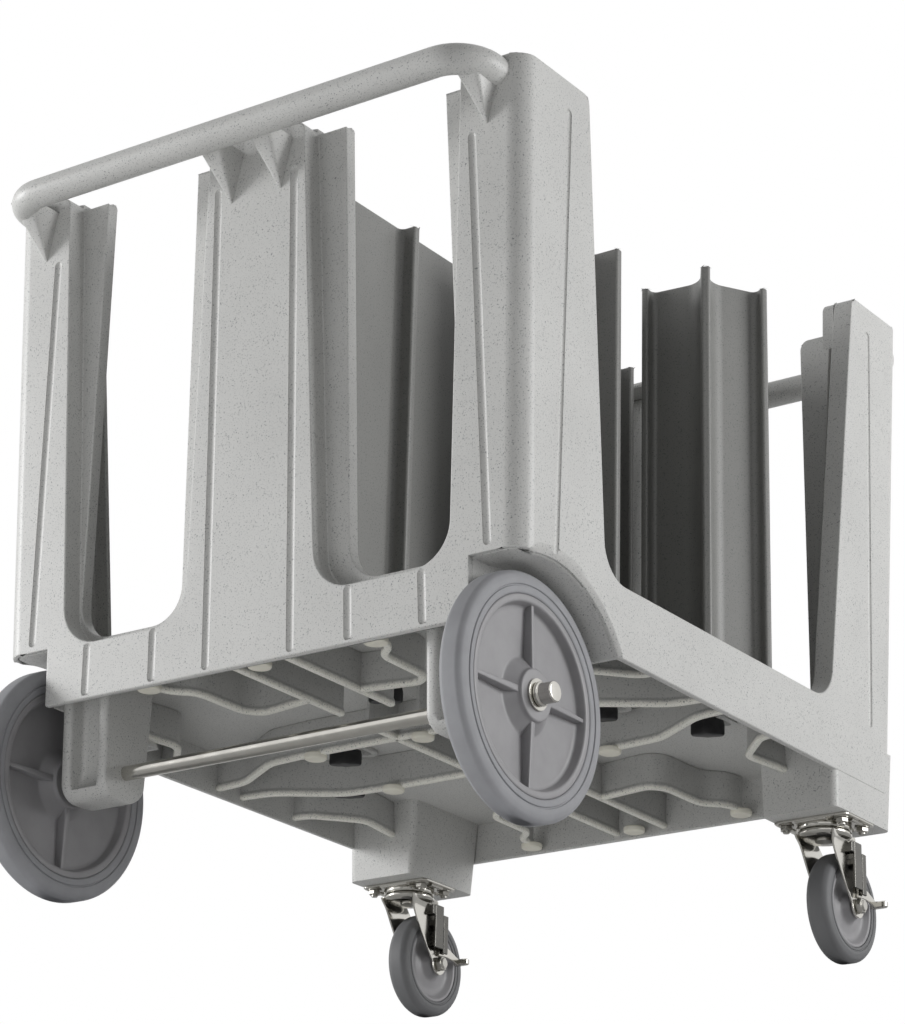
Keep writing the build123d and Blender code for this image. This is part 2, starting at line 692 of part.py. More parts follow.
def caster_plate(x):
    """Mounting plate with the fixed upper race pressed out of it."""
    plate = Pos(x, CASTER_Y, CASTER_TOP - PLATE_T / 2) * extrude(RectangleRounded(96.0, 72.0, 8.0), PLATE_T / 2, both=True)
    race = rod_z(RACE_R, PLATE_LOW - RACE_H, PLATE_LOW, x, CASTER_Y)
    race = chamfer(race.edges().group_by(Axis.Z)[0], 3.0)
    plate += race
    plate -= rod_z(PIN_R + RUN_FIT, CROWN_TOP - 30.0, PLATE_LOW - 1.0, x, CASTER_Y)
    for dx, dy in CASTER_BOLTS:
        plate -= rod_z(4.0 + SEAT_FIT, PLATE_LOW - 1.0, CASTER_TOP + 1.0, x + dx, CASTER_Y + dy)
    return plate


def hex_bolt(x, y):
    """Hex-headed bolt from below."""
    head = Pos(x, y, PLATE_LOW - 5.0) * extrude(RegularPolygon(7.5, 6), 5.0)
    return head + rod_z(4.0, PLATE_LOW, CASTER_TOP + 20.0, x, y)


def caster_fork():
    """Pressed fork in its own frame: swivel axis at the origin, wheel axle behind it."""
    crown = rod_z(RACE_R + 3.0, CROWN_TOP - CROWN_T - 4.0, CROWN_TOP, 0, 0)
    crown = fillet(crown.edges().group_by(Axis.Z)[0], 3.0)
    shoulder = block(-FORK_OUT, FORK_OUT, -24.0, 26.0, CROWN_TOP - CROWN_T - 4.0, CROWN_TOP - 4.0)
    fork = crown + shoulder
    with BuildPart() as leg:
        with BuildSketch(SIDE_PLANE.offset(FORK_IN)) as sketch:
            with BuildLine():
                Polyline(
                    (-24.0, CROWN_TOP - 5.0),
                    (CASTER_TRAIL - 13.0, CASTER_R - 9.0),
                    (CASTER_TRAIL, CASTER_R - 14.0),
                    (CASTER_TRAIL + 13.0, CASTER_R - 6.0),
                    (CASTER_TRAIL + 10.0, CASTER_R + 24.0),
                    (26.0, CROWN_TOP - 5.0),
                    close=True,
                )
            make_face()
            fillet(sketch.vertices().group_by(Axis.Y)[0], 9.0)
        extrude(amount=FORK_T)
    fork += leg.part + mirror(leg.part, about=Plane.YZ)
    fork -= rod_x(BOLT_R + SEAT_FIT, -60.0, 60.0, CASTER_TRAIL, CASTER_R)
    fork -= rod_z(PIN_R + SEAT_FIT, 60.0, 200.0)
    return fork


KING_LOW = CROWN_TOP - CROWN_T - 4.0


def king_pin():
    """Pin with a flanged head below the crown; it turns with the fork in the plate."""
    pin = rod_z(PIN_R, KING_LOW, PLATE_LOW - 1.2)
    return pin + rod_z(PIN_R + 4.0, KING_LOW - 3.5, KING_LOW)


CASTER_TYRE = [
    (-CASTER_T / 2, CASTER_RIM + 1.0),
    (-CASTER_T / 2, CASTER_R - 5.0),
    (-CASTER_T / 2 + 5.0, CASTER_R),
    (CASTER_T / 2 - 5.0, CASTER_R),
    (CASTER_T / 2, CASTER_R - 5.0),
    (CASTER_T / 2, CASTER_RIM + 1.0),
    (CASTER_T / 2 - 1.0, CASTER_RIM),
    (-CASTER_T / 2 + 1.0, CASTER_RIM),
]
CASTER_CORE = [
    (-17.0, BOLT_R + RUN_FIT),
    (-17.0, 12.0),
    (-15.0, 14.0),
    (-6.0, 17.0),
    (-6.0, CASTER_RIM - 8.0),
    (-CASTER_T / 2 + 1.5, CASTER_RIM - 5.0),
    (-CASTER_T / 2 + 1.5, CASTER_RIM - 0.05),
    (CASTER_T / 2 - 1.5, CASTER_RIM - 0.05),
    (CASTER_T / 2 - 1.5, CASTER_RIM - 5.0),
    (6.0, CASTER_RIM - 8.0),
    (6.0, 17.0),
    (15.0, 14.0),
    (17.0, 12.0),
    (17.0, BOLT_R + RUN_FIT),
]


def axle_bolt():
    """Wheel bolt: shank, hex head on one side and lock nut on the other."""
    bolt = rod_x(BOLT_R, -FORK_OUT - 1.0, FORK_OUT + 9.0, 0, 0)
    head = extrude(Plane.YZ.offset(-FORK_OUT - 6.5) * RegularPolygon(9.0, 6), 6.5)
    nut = extrude(Plane.YZ.offset(FORK_OUT) * RegularPolygon(9.0, 6), 7.0)
    return bolt + head + nut


BRAKE_PIVOT = (CASTER_TRAIL + 4.0, CASTER_R + 17.0)


def brake_lever():
    """Side brake: a bent strip hung on a pivot stud, with a wide foot tab."""
    x0 = FORK_OUT + 0.3
    pivot_y, pivot_z = BRAKE_PIVOT
    with BuildPart() as part:
        with BuildSketch(SIDE_PLANE.offset(x0)) as sketch:
            with BuildLine():
                Polyline(
                    (pivot_y - 9.0, pivot_z + 8.0),
                    (pivot_y + 9.0, pivot_z + 8.0),
                    (pivot_y + 34.0, pivot_z - 4.0),
                    (pivot_y + 34.0, pivot_z - 11.0),
                    (pivot_y + 6.0, pivot_z - 8.0),
                    (pivot_y - 9.0, pivot_z - 8.0),
                    close=True,
                )
            make_face()
        extrude(amount=3.0)
    lever = part.part
    tab = block(x0 - 6.0, x0 + 16.0, pivot_y + 32.0, pivot_y + 40.0, pivot_z - 12.0, pivot_z - 3.0)
    lever += tab
    lever -= rod_x(3.0 + RUN_FIT, x0 - 5.0, x0 + 10.0, pivot_y, pivot_z)
    return lever


for side, sign in (("left", -1), ("right", 1)):
    to_swivel = Pos(sign * CASTER_X, CASTER_Y, 0)
    to_wheel = Pos(sign * CASTER_X, CASTER_Y + CASTER_TRAIL, CASTER_R)
    fork = caster_fork()
    pivot_y, pivot_z = BRAKE_PIVOT
    fork += rod_x(3.0, FORK_OUT - 0.5, FORK_OUT + 5.0, pivot_y, pivot_z)
    node[side + "_caster_fork"] = to_swivel * fork
    node[side + "_caster_king_pin"] = to_swivel * king_pin()
    node[side + "_caster_axle_bolt"] = to_wheel * axle_bolt()
    node[side + "_caster_tyre"] = to_wheel * spun(CASTER_TYRE, 1, 0, 0)
    node[side + "_caster_core"] = to_wheel * spun(CASTER_CORE, 1, 0, 0)
    node[side + "_caster_brake"] = to_swivel * brake_lever()
node["caster_plates"] = Compound(children=[caster_plate(-CASTER_X), caster_plate(CASTER_X)])
bolts = []
for x in (-CASTER_X, CASTER_X):
    for dx, dy in CASTER_BOLTS:
        bolts.append(hex_bolt(x + dx, CASTER_Y + dy))
node["caster_plate_bolts"] = Compound(children=bolts)

# ---------------------------------------------------------------- dividers
KNOB_TOP = DECK_LOW - RIM_T - DECK_GAP - 2.0


def rounded_face(corners):
    """Closed outline through (x, y, radius) corners, every corner turned with its own radius."""
    lines = []
    joints = []
    for i, (x, y, radius) in enumerate(corners):
        before = corners[i - 1]
        after = corners[(i + 1) % len(corners)]
        a = unit(before[0] - x, before[1] - y)
        b = unit(after[0] - x, after[1] - y)
        half = acos(a[0] * b[0] + a[1] * b[1]) / 2
        run = radius / tan(half)
        mid = unit(a[0] + b[0], a[1] + b[1])
        depth = radius / sin(half) - radius
        start = (x + a[0] * run, y + a[1] * run)
        stop = (x + b[0] * run, y + b[1] * run)
        lines.append(ThreePointArc(start, (x + mid[0] * depth, y + mid[1] * depth), stop))
        joints.append((start, stop))
    for i, (start, stop) in enumerate(joints):
        lines.append(Line(stop, joints[(i + 1) % len(joints)][0]))
    return make_face(Curve() + lines)


def tower():
    """Upright divider: two wings swept back from a fin, each ending in a lip turned forwards."""
    turn = WING_TURN * pi / 180.0
    away = (cos(turn), sin(turn))
    fore = (sin(turn), -cos(turn))

    def on_wing(run, rise):
        """Point at the distance run along a wing and rise in front of its face."""
        return (run * away[0] + rise * fore[0] - TOWER_ROOT, run * away[1] + rise * fore[1])

    half = [
        (TOWER_FIN, FIN_HALF, 3.5),
        (FIN_HALF / tan(turn) - TOWER_ROOT, FIN_HALF, 30.0),
        (*on_wing(WING_LEN, 0.0), 7.0),
        (*on_wing(WING_LEN, LIP_LEN), 3.3),
        (*on_wing(WING_LEN + LIP_T, LIP_LEN), 3.3),
        (*on_wing(WING_LEN + LIP_T, -TOWER_T), 5.0),
    ]
    back = (-TOWER_ROOT - TOWER_T / sin(turn), 0.0, 16.0)
    other = [(x, -y, radius) for x, y, radius in reversed(half)]
    return upright(rounded_face(half + [back] + other))


def panel():
    """Straight middle divider with a rib in the middle and a lip at each end."""
    wall = TOWER_T / 2
    side = PANEL_HALF - LIP_T
    half = [
        (PANEL_RIB, FIN_HALF, 3.5),
        (wall, FIN_HALF, 7.0),
        (wall, side, 7.0),
        (PANEL_RIB, side, 3.3),
        (PANEL_RIB, PANEL_HALF, 3.3),
        (-wall, PANEL_HALF, 3.0),
    ]
    other = [(x, -y, radius) for x, y, radius in reversed(half)]
    return upright(rounded_face(half + other))


def upright(outline):
    """The outline drawn up from just above the deck to the top of the dividers."""
    return extrude(Pos(0, 0, DECK_TOP + DECK_GAP) * outline, TOWER_TOP - DECK_TOP - DECK_GAP)


def clamp_stud():
    """Stud that passes through the slot, with a washer below the deck."""
    stud = rod_z(STUD_R, 226.0, DECK_TOP + DECK_GAP)
    washer_top = DECK_LOW - RIM_T - DECK_GAP
    return stud + rod_z(11.0, washer_top - 2.0, washer_top)


def clamp_knob():
    """Winged knob: a round hub with a lobed grip on two sides and short turned-down ends."""
    hub = rod_z(9.0, KNOB_TOP - 20.0, KNOB_TOP)
    grip = block(-18.0, 18.0, -4.0, 4.0, KNOB_TOP - 15.0, KNOB_TOP - 3.0)
    knob = hub + grip
    for x in (-16.0, 16.0):
        knob += block(x - 2.5, x + 2.5, -5.5, 5.5, KNOB_TOP - 22.0, KNOB_TOP - 2.0)
    knob -= rod_z(STUD_R + RUN_FIT, 220.0, 260.0)
    return knob


for name, x, y, turn in TOWERS:
    node["divider_" + name] = Pos(x, y, 0) * Rot(0, 0, turn) * tower()
for name, x, y in PANELS:
    node["divider_" + name] = Pos(x, y, 0) * panel()
for name, x, y, along_slot in CLAMPS:
    node["clamp_stud_" + name] = Pos(x, y, 0) * clamp_stud()
    node["clamp_knob_" + name] = Pos(x, y, 0) * Rot(0, 0, 30.0) * clamp_knob()

for name, shape in node.items():
    export_step(shape, "parts/" + name + ".step")
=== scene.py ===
import json
from math import cos, pi, radians, sin

import bmesh
import bpy
import numpy as np
from bpy.props import FloatProperty, FloatVectorProperty, PointerProperty
from mathutils import Matrix, Vector


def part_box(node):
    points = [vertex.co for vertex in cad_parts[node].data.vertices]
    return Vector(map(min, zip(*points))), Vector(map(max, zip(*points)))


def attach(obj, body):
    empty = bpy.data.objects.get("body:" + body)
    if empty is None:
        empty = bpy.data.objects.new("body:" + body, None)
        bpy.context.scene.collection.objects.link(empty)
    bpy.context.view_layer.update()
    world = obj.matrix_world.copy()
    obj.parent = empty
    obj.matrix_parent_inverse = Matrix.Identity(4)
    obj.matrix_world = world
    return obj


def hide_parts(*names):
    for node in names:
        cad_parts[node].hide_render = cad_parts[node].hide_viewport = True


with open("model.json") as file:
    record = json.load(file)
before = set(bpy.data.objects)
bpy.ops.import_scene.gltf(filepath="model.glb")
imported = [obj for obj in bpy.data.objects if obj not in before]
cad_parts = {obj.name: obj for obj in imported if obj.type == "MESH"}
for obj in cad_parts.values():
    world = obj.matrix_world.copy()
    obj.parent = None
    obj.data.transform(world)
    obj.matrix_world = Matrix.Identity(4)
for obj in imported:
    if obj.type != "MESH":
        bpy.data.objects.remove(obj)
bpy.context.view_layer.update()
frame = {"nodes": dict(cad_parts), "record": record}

bl_info = {
    "name": "Plate Dispenser Cart",
    "version": (1, 0, 0),
    "blender": (4, 5, 0),
    "location": "3D View > Sidebar > Plate Cart",
    "description": "Dresses a moulded plate cart: body, wheels, casters, clamps, finishes, stage",
    "category": "Object",
}

NODES = frame["nodes"]
LEFT_RIGHT = (("left", -1.0), ("right", 1.0))


# ---------------- sizes and colours
class CartSizes(bpy.types.PropertyGroup):
    """Sizes of the dressed pieces, in metres."""

    wheel_radius: FloatProperty(
        name="Wheel radius", description="Radius of the large wheels over the tyre",
        default=0.127, min=0.05, unit="LENGTH", subtype="DISTANCE")
    wheel_face: FloatProperty(
        name="Wheel face", description="Distance from the middle to the outer face of a large tyre",
        default=0.318, min=0.1, unit="LENGTH", subtype="DISTANCE")
    wheel_width: FloatProperty(
        name="Wheel width", description="Width of the large tyres",
        default=0.029, min=0.01, unit="LENGTH", subtype="DISTANCE")
    axle_place: FloatProperty(
        name="Axle place", description="Place of the rear axle along the cart",
        default=-0.327, unit="LENGTH", subtype="DISTANCE")
    bar_radius: FloatProperty(
        name="Bar radius", description="Radius of the handle bars",
        default=0.0165, min=0.005, unit="LENGTH", subtype="DISTANCE")
    bar_bend: FloatProperty(
        name="Bar bend", description="Radius of the turned ends of the handle bars",
        default=0.042, min=0.02, unit="LENGTH", subtype="DISTANCE")
    end_face: FloatProperty(
        name="End face", description="Distance from the middle to the end walls at the handles",
        default=0.415, min=0.1, unit="LENGTH", subtype="DISTANCE")
    skirt: FloatProperty(
        name="Skirt", description="Height of the lower edge of the walls",
        default=0.197, min=0.05, unit="LENGTH", subtype="DISTANCE")
    top: FloatProperty(
        name="Top", description="Height of the posts",
        default=0.800, min=0.3, unit="LENGTH", subtype="DISTANCE")
    half_width: FloatProperty(
        name="Half width", description="Distance from the middle to the side walls at the skirt",
        default=0.342, min=0.1, unit="LENGTH", subtype="DISTANCE")
    half_length: FloatProperty(
        name="Half length", description="Distance from the middle to the end walls at the skirt",
        default=0.387, min=0.1, unit="LENGTH", subtype="DISTANCE")
    side_draft: FloatProperty(
        name="Side draft", description="Outward lean of the side walls for each unit of height",
        default=0.019, min=0.0, max=0.2)
    end_draft: FloatProperty(
        name="End draft", description="Outward lean of the end walls for each unit of height",
        default=0.048, min=0.0, max=0.2)
    caster_x: FloatProperty(
        name="Caster spread", description="Distance of the swivel axes from the middle plane",
        default=0.293, min=0.05, unit="LENGTH", subtype="DISTANCE")
    caster_y: FloatProperty(
        name="Caster place", description="Place of the swivel axes along the cart",
        default=0.307, unit="LENGTH", subtype="DISTANCE")
    caster_trail: FloatProperty(
        name="Caster trail", description="Distance from the swivel axis back to the wheel bolt",
        default=0.038, unit="LENGTH", subtype="DISTANCE")
    caster_radius: FloatProperty(
        name="Caster wheel radius", description="Radius of the caster wheels over the tyre",
        default=0.0635, min=0.02, unit="LENGTH", subtype="DISTANCE")
    caster_width: FloatProperty(
        name="Caster wheel width", description="Width of the caster tyres",
        default=0.030, min=0.01, unit="LENGTH", subtype="DISTANCE")


class CartColours(bpy.types.PropertyGroup):
    """Colours of the finishes, as linear red, green and blue."""

    body: FloatVectorProperty(
        name="Body", description="Light grey of the moulded body",
        default=(0.60, 0.60, 0.585), min=0.0, max=1.0, subtype="COLOR")
    fleck: FloatVectorProperty(
        name="Flecks", description="Dark flecks in the moulded body",
        default=(0.16, 0.17, 0.18), min=0.0, max=1.0, subtype="COLOR")
    # Painted shade: the dividers are the body's plastic, and this darker grey stands in for the
    # shade inside the cart.
    guide: FloatVectorProperty(
        name="Dividers", description="Darker grey of the dividers",
        default=(0.235, 0.235, 0.225), min=0.0, max=1.0, subtype="COLOR")
    pad: FloatVectorProperty(
        name="Pads", description="Cream of the pads under the deck",
        default=(0.82, 0.80, 0.70), min=0.0, max=1.0, subtype="COLOR")
    wheel: FloatVectorProperty(
        name="Wheel centres", description="Grey of the wheel centres",
        default=(0.295, 0.29, 0.30), min=0.0, max=1.0, subtype="COLOR")
    big_tyre: FloatVectorProperty(
        name="Large tyres", description="Blue grey of the large tyres",
        default=(0.315, 0.318, 0.335), min=0.0, max=1.0, subtype="COLOR")
    caster_tyre: FloatVectorProperty(
        name="Caster tyres", description="Grey of the caster tyres",
        default=(0.15, 0.152, 0.157), min=0.0, max=1.0, subtype="COLOR")
    steel: FloatVectorProperty(
        name="Bright steel", description="Polished steel of the axle, plates and forks",
        default=(0.60, 0.585, 0.545), min=0.0, max=1.0, subtype="COLOR")
    knob: FloatVectorProperty(
        name="Knobs", description="Black of the clamp knobs",
        default=(0.012, 0.012, 0.013), min=0.0, max=1.0, subtype="COLOR")


# ---------------- finishes
# Share of the fleck colour at four levels of the fine noise: faint grain first, then full flecks.
FLECK_LEVELS = ((0.53, 0.0), (0.585, 0.1), (0.64, 0.22), (0.71, 0.95))
# Height over which the painted light on a lower edge fades out, and how far noise moves it.
LIT_EDGE_FADE, LIT_EDGE_WANDER = 0.0035, 0.004
# Height under which the ribs are painted pale as painted light from below, and the colour there.
RIB_PAINTED_LIGHT = (0.208, (0.86, 0.85, 0.78))


def node_of(tree, kind, values=(), links=(), **settings):
    """New shader node with its settings, then its socket values, then its incoming links."""
    node = tree.nodes.new("ShaderNode" + kind)
    for key, value in settings.items():
        setattr(node, key, value)
    for socket, value in values:
        node.inputs[socket].default_value = value
    for socket, source in links:
        tree.links.new(source, node.inputs[socket])
    return node


def new_finish(name):
    """A material with only its surface and output nodes, returned with its tree and surface."""
    mat = bpy.data.materials.new(name)
    mat.use_nodes = True
    tree = mat.node_tree
    tree.nodes.clear()
    surface = node_of(tree, "BsdfPrincipled")
    node_of(tree, "OutputMaterial", links=[("Surface", surface.outputs["BSDF"])])
    return mat, tree, surface


def noise(tree, scale, detail, rough=0.55):
    """Value of a noise on the piece's own coordinates."""
    place = node_of(tree, "TexCoord")
    pattern = node_of(tree, "TexNoise",
                      [("Scale", scale), ("Detail", detail), ("Roughness", rough)],
                      [("Vector", place.outputs["Object"])])
    return pattern.outputs["Fac"]


def ramp(tree, source, stops):
    """Colour of a value on a ramp through (position, colour) stops."""
    node = node_of(tree, "ValToRGB", links=[("Fac", source)])
    band = node.color_ramp
    while len(band.elements) < len(stops):
        band.elements.new(0.5)
    for item, (place, colour) in zip(band.elements, stops):
        item.position = place
        item.color = (*colour, 1.0)
    return node.outputs["Color"]


def blend(tree, share, under, over):
    """Colour that goes from a socket's to a fixed one by a share."""
    mix = node_of(tree, "Mix", [("B", (*over, 1.0))], [("Factor", share), ("A", under)],
                  data_type="RGBA")
    return mix.outputs["Result"]


def mixed(tree, share, first, second):
    """Shader that goes from the first to the second by a share."""
    node = node_of(tree, "MixShader", links=[("Fac", share), (1, first), (2, second)])
    return node.outputs["Shader"]


def greatest(tree, *sources):
    """Greatest of several values."""
    value = sources[0]
    for other in sources[1:]:
        node = node_of(tree, "Math", links=[(0, value), (1, other)], operation="MAXIMUM")
        value = node.outputs["Value"]
    return value


def roughen(tree, surface, pattern, strength, distance):
    """Fine relief on a surface, out of a pattern."""
    bump = node_of(tree, "Bump", [("Strength", strength), ("Distance", distance)],
                   [("Height", pattern)])
    tree.links.new(bump.outputs["Normal"], surface.inputs["Normal"])


def tint(colour, factor):
    """The colour made lighter or darker by a factor."""
    return tuple(min(1.0, c * factor) for c in colour)


def speckled_plastic(name, colour, fleck, roughness=0.42, painted_light=None):
    """Satin moulded plastic: flecks are the rare peaks of a fine noise, over faint soft mottling.
    Painted
    light is (height, colour): below the height, blurred by noise, the plastic is painted paler."""
    mat, tree, surface = new_finish(name)
    stops = [(0.3, tint(colour, 0.95)), (0.7, tint(colour, 1.04))]
    base = ramp(tree, noise(tree, 9.0, 4.0), stops)
    stops = [(place, (level,) * 3) for place, level in FLECK_LEVELS]
    mask = ramp(tree, noise(tree, 620.0, 2.0, 0.5), stops)
    # painted light: below a height the colour is made paler, standing in for light from below
    if painted_light:
        low, pale = painted_light
        place = node_of(tree, "TexCoord")
        height = node_of(tree, "SeparateXYZ", links=[("Vector", place.outputs["Object"])])
        blur = node_of(tree, "Math", [(1, LIT_EDGE_WANDER)],
                       [(0, noise(tree, 160.0, 3.0)), (2, height.outputs["Z"])],
                       operation="MULTIPLY_ADD")
        edge = node_of(tree, "MapRange",
                       [("From Min", low), ("From Max", low + LIT_EDGE_FADE), ("To Min", 1.0),
                        ("To Max", 0.0)],
                       [("Value", blur.outputs["Value"])])
        base = blend(tree, edge.outputs["Result"], base, pale)
    tree.links.new(blend(tree, mask, base, fleck), surface.inputs["Base Color"])
    surface.inputs["Roughness"].default_value = roughness
    roughen(tree, surface, noise(tree, 420.0, 3.0, 0.6), 0.1, 0.0006)
    return mat


def plain_plastic(name, colour, roughness):
    """Moulded plastic or rubber with a little mottling in its colour."""
    mat, tree, surface = new_finish(name)
    stops = [(0.3, tint(colour, 0.94)), (0.7, tint(colour, 1.06))]
    tree.links.new(ramp(tree, noise(tree, 40.0, 4.0), stops), surface.inputs["Base Color"])
    surface.inputs["Roughness"].default_value = roughness
    roughen(tree, surface, noise(tree, 900.0, 2.0), 0.08, 0.0004)
    return mat


def bright_metal(name, colour, low, high):
    """Polished or plated steel whose sheen wanders between two roughness values."""
    mat, tree, surface = new_finish(name)
    soft = noise(tree, 60.0, 4.0)
    tree.links.new(ramp(tree, soft, [(0.3, tint(colour, 0.94)), (0.7, colour)]),
                   surface.inputs["Base Color"])
    surface.inputs["Metallic"].default_value = 1.0
    tree.links.new(ramp(tree, soft, [(0.3, (low,) * 3), (0.75, (high,) * 3)]),
                   surface.inputs["Roughness"])
    return mat


FINISH = {}


def finishes():
    """Makes every finish once and returns them by name, which is the slot's where there is one."""
    if not FINISH:
        c = bpy.context.scene.cart_colours
        FINISH.update(
            body_plastic=speckled_plastic("speckled_body", c.body, c.fleck),
            # dividers: the body plastic's grey and flecks darkened as painted shade
            guide_plastic=speckled_plastic("guide_painted_shade_plastic", c.guide, tint(c.fleck, 0.6)),
            # ribs: the body grey darkened as painted shade under the cart, with painted light on
            # their lower edge
            rib_plastic=speckled_plastic(
                "ribs_painted_shade_and_light", tint(c.body, 0.8), c.fleck, 0.45, RIB_PAINTED_LIGHT),
            pad_plastic=plain_plastic("cream_pad", c.pad, 0.5),
            wheel_plastic=plain_plastic("wheel_centre_grey", c.wheel, 0.42),
            big_tyre=plain_plastic("blue_grey_rubber", c.big_tyre, 0.62),
            caster_tyre=plain_plastic("caster_rubber", c.caster_tyre, 0.6),
            bright_steel=bright_metal("polished_steel", c.steel, 0.1, 0.2),
            zinc_steel=bright_metal("zinc_plate", tint(c.steel, 0.8), 0.25, 0.38),
            dark_steel=bright_metal("shaded_steel", tint(c.steel, 0.22), 0.22, 0.34),
            knob_plastic=plain_plastic("black_knob", c.knob, 0.38))
    return FINISH


def dress(obj, finish):
    """Gives a piece one finish, and no other."""
    obj.data.materials.clear()
    obj.data.materials.append(finishes()[finish])


# ---------------- surfaces
def outward(verts, faces):
    """Turns the faces round where the volume in them, a sixth of the sum of a . (b x c), is below
    zero."""
    tris = np.array([(f[0], f[i], f[i + 1]) for f in faces for i in range(1, len(f) - 1)])
    a, b, c = (verts[tris[:, k]] - verts.mean(0) for k in range(3))
    if np.einsum("ij,ij->", a, np.cross(b, c)) < 0:
        faces = [f[::-1] for f in faces]
    return verts, faces


def grid_faces(rows, cols):
    """Quads between neighbouring rings of cols points."""
    i, j = np.meshgrid(np.arange(rows - 1), np.arange(cols), indexing="ij")
    a, b = i * cols + j, i * cols + (j + 1) % cols
    return np.stack([a, b, b + cols, a + cols], -1).reshape(-1, 4).tolist()


def skin(rings, loop=False):
    """Closed surface over an array of rings (rows, points, 3). Each end is closed with a fan to
    the mean of its ring, or the last ring is joined to the first."""
    rings = np.asarray(rings)
    rows, cols = rings.shape[:2]
    verts = rings.reshape(-1, 3)
    faces = grid_faces(rows, cols)
    here, last = np.arange(cols), (rows - 1) * cols
    ahead = (here + 1) % cols
    if loop:
        faces += np.stack([last + here, last + ahead, ahead, here], -1).tolist()
    else:
        verts = np.vstack([verts, rings[0].mean(0), rings[-1].mean(0)])
        n = rows * cols
        faces += np.stack([ahead, here, np.full(cols, n)], -1).tolist()
        faces += np.stack([last + here, last + ahead, np.full(cols, n + 1)], -1).tolist()
    return outward(verts, faces)


def lathe(profile, centre, steps, axis="X"):
    """Profile of (along, radius) points turned about an axis through centre: the two other
    coordinates are radius times cosine and sine of the angle. A profile that starts away from the
    axis is closed and makes a ring."""
    p = np.asarray(profile, float)
    loop = p[0, 1] > 1e-6
    a = np.linspace(0.0, 2 * pi, steps, endpoint=False)
    along = np.repeat(p[:, :1], steps, 1)
    u, v = p[:, 1:] * np.cos(a), p[:, 1:] * np.sin(a)
    order = {"X": (along, u, v), "Z": (u, v, along)}[axis]
    rings = np.stack(order, -1) + np.asarray(centre, float)
    if not loop:
        rings = rings[1:-1]
    return skin(rings, loop)


def rounded(points, radius, steps, closed=True):
    """Profile whose corners are turned: each corner p between a and b becomes the curve
    (1-t)^2 a + 2t(1-t) p + t^2 b. An open profile keeps its two ends."""
    p = np.asarray(points, float)
    mid = p if closed else p[1:-1]
    before = (np.roll(p, 1, 0) if closed else p[:-2]) - mid
    after = (np.roll(p, -1, 0) if closed else p[2:]) - mid
    lb = np.linalg.norm(before, axis=1, keepdims=True)
    la = np.linalg.norm(after, axis=1, keepdims=True)
    cut = np.minimum(radius, 0.45 * np.minimum(lb, la))
    a, b = mid + before / lb * cut, mid + after / la * cut
    t = np.linspace(0.0, 1.0, steps)[None, :, None]
    curve = (1 - t) ** 2 * a[:, None] + 2 * t * (1 - t) * mid[:, None] + t**2 * b[:, None]
    curve = curve.reshape(-1, p.shape[1])
    return curve if closed else np.vstack([p[:1], curve, p[-1:]])


def oval(half_a, half_b, power, steps):
    """Closed section |x/a|^p + |y/b|^p = 1, a circle at power 2 and nearly a block at 8."""
    t = np.linspace(0.0, 2 * pi, steps, endpoint=False) + pi / steps
    c, s = np.cos(t), np.sin(t)
    e = 2.0 / power
    x, y = np.sign(c) * np.abs(c) ** e, np.sign(s) * np.abs(s) ** e
    return np.stack([half_a * x, half_b * y], -1)


def swept(path, section, up=(0.0, 0.0, 1.0)):
    """Section carried along a path: each point is path + side * x + top * y, where side is square
    to the path and to up, and top is square to both."""
    path = np.asarray(path, float)
    ahead = np.gradient(path, axis=0)
    ahead /= np.linalg.norm(ahead, axis=1, keepdims=True)
    side = np.cross(ahead, np.asarray(up, float))
    side /= np.linalg.norm(side, axis=1, keepdims=True)
    top = np.cross(side, ahead)
    section = np.broadcast_to(section, (len(path),) + np.shape(section)[-2:])
    rings = path[:, None] + side[:, None] * section[:, :, :1] + top[:, None] * section[:, :, 1:]
    return skin(rings)


def laid(flat, z, x=0.0, y=0.0):
    """Flat section moved by x and y and laid at the height z."""
    return np.column_stack([x + flat[:, 0], y + flat[:, 1], np.full(len(flat), z)])


def slab(centre, half, power, soft, steps):
    """Block with eased edges: rounded-square sections stacked along Z, the end ones drawn in."""
    a, b, c = half
    levels = ((-c, soft), (soft - c, 0.0), (c - soft, 0.0), (c, soft))
    rings = [laid(oval(a - d, b - d, power, steps), z) for z, d in levels]
    return skin(np.array(rings) + np.asarray(centre, float))


def hexagon(radius, low, high, centre, axis="Z"):
    """Nut or bolt head: six flat sides with chamfered ends, standing along an axis."""
    soft = 0.0008
    t = np.linspace(0.0, 2 * pi, 6, endpoint=False)
    flat = np.stack([np.cos(t), np.sin(t)], -1)
    levels = ((low, soft), (low + soft, 0.0), (high - soft, 0.0), (high, soft))
    rings = np.array([laid(flat * (radius - d), w) for w, d in levels])
    order = {"X": (2, 0, 1), "Z": (0, 1, 2)}[axis]
    return skin(rings[:, :, order] + np.asarray(centre, float))


def rod(low, high, radius):
    """Profile of a plain round bar, for lathe."""
    return [(low, 0.0), (low, radius), (high, radius), (high, 0.0)]


def both_sides(half, total=0.0):
    """Closed profile from its far half: each point (x, y) has a twin at (total - x, y)."""
    return half + [(total - x, y) for x, y in reversed(half)]


def slowing(share, steps, start, last_steps):
    """Steps from 0 to 1: even ones up to a share, then a quarter sine that slows to the end."""
    ahead = np.sin(np.linspace(start, 1.0, last_steps) * pi / 2)
    return np.concatenate([np.linspace(0.0, share, steps), share + (1.0 - share) * ahead])


def mirrored(shell):
    """The same shell on the other side, x to -x, with its faces turned round."""
    verts, faces = shell
    return verts * np.array([-1.0, 1.0, 1.0]), [f[::-1] for f in faces]


def joined(shells):
    """Points, no edges and faces of several shells as one mesh."""
    faces, start = [], 0
    for v, f in shells:
        faces += [tuple(start + i for i in face) for face in f]
        start += len(v)
    return np.vstack([v for v, f in shells]).tolist(), [], faces


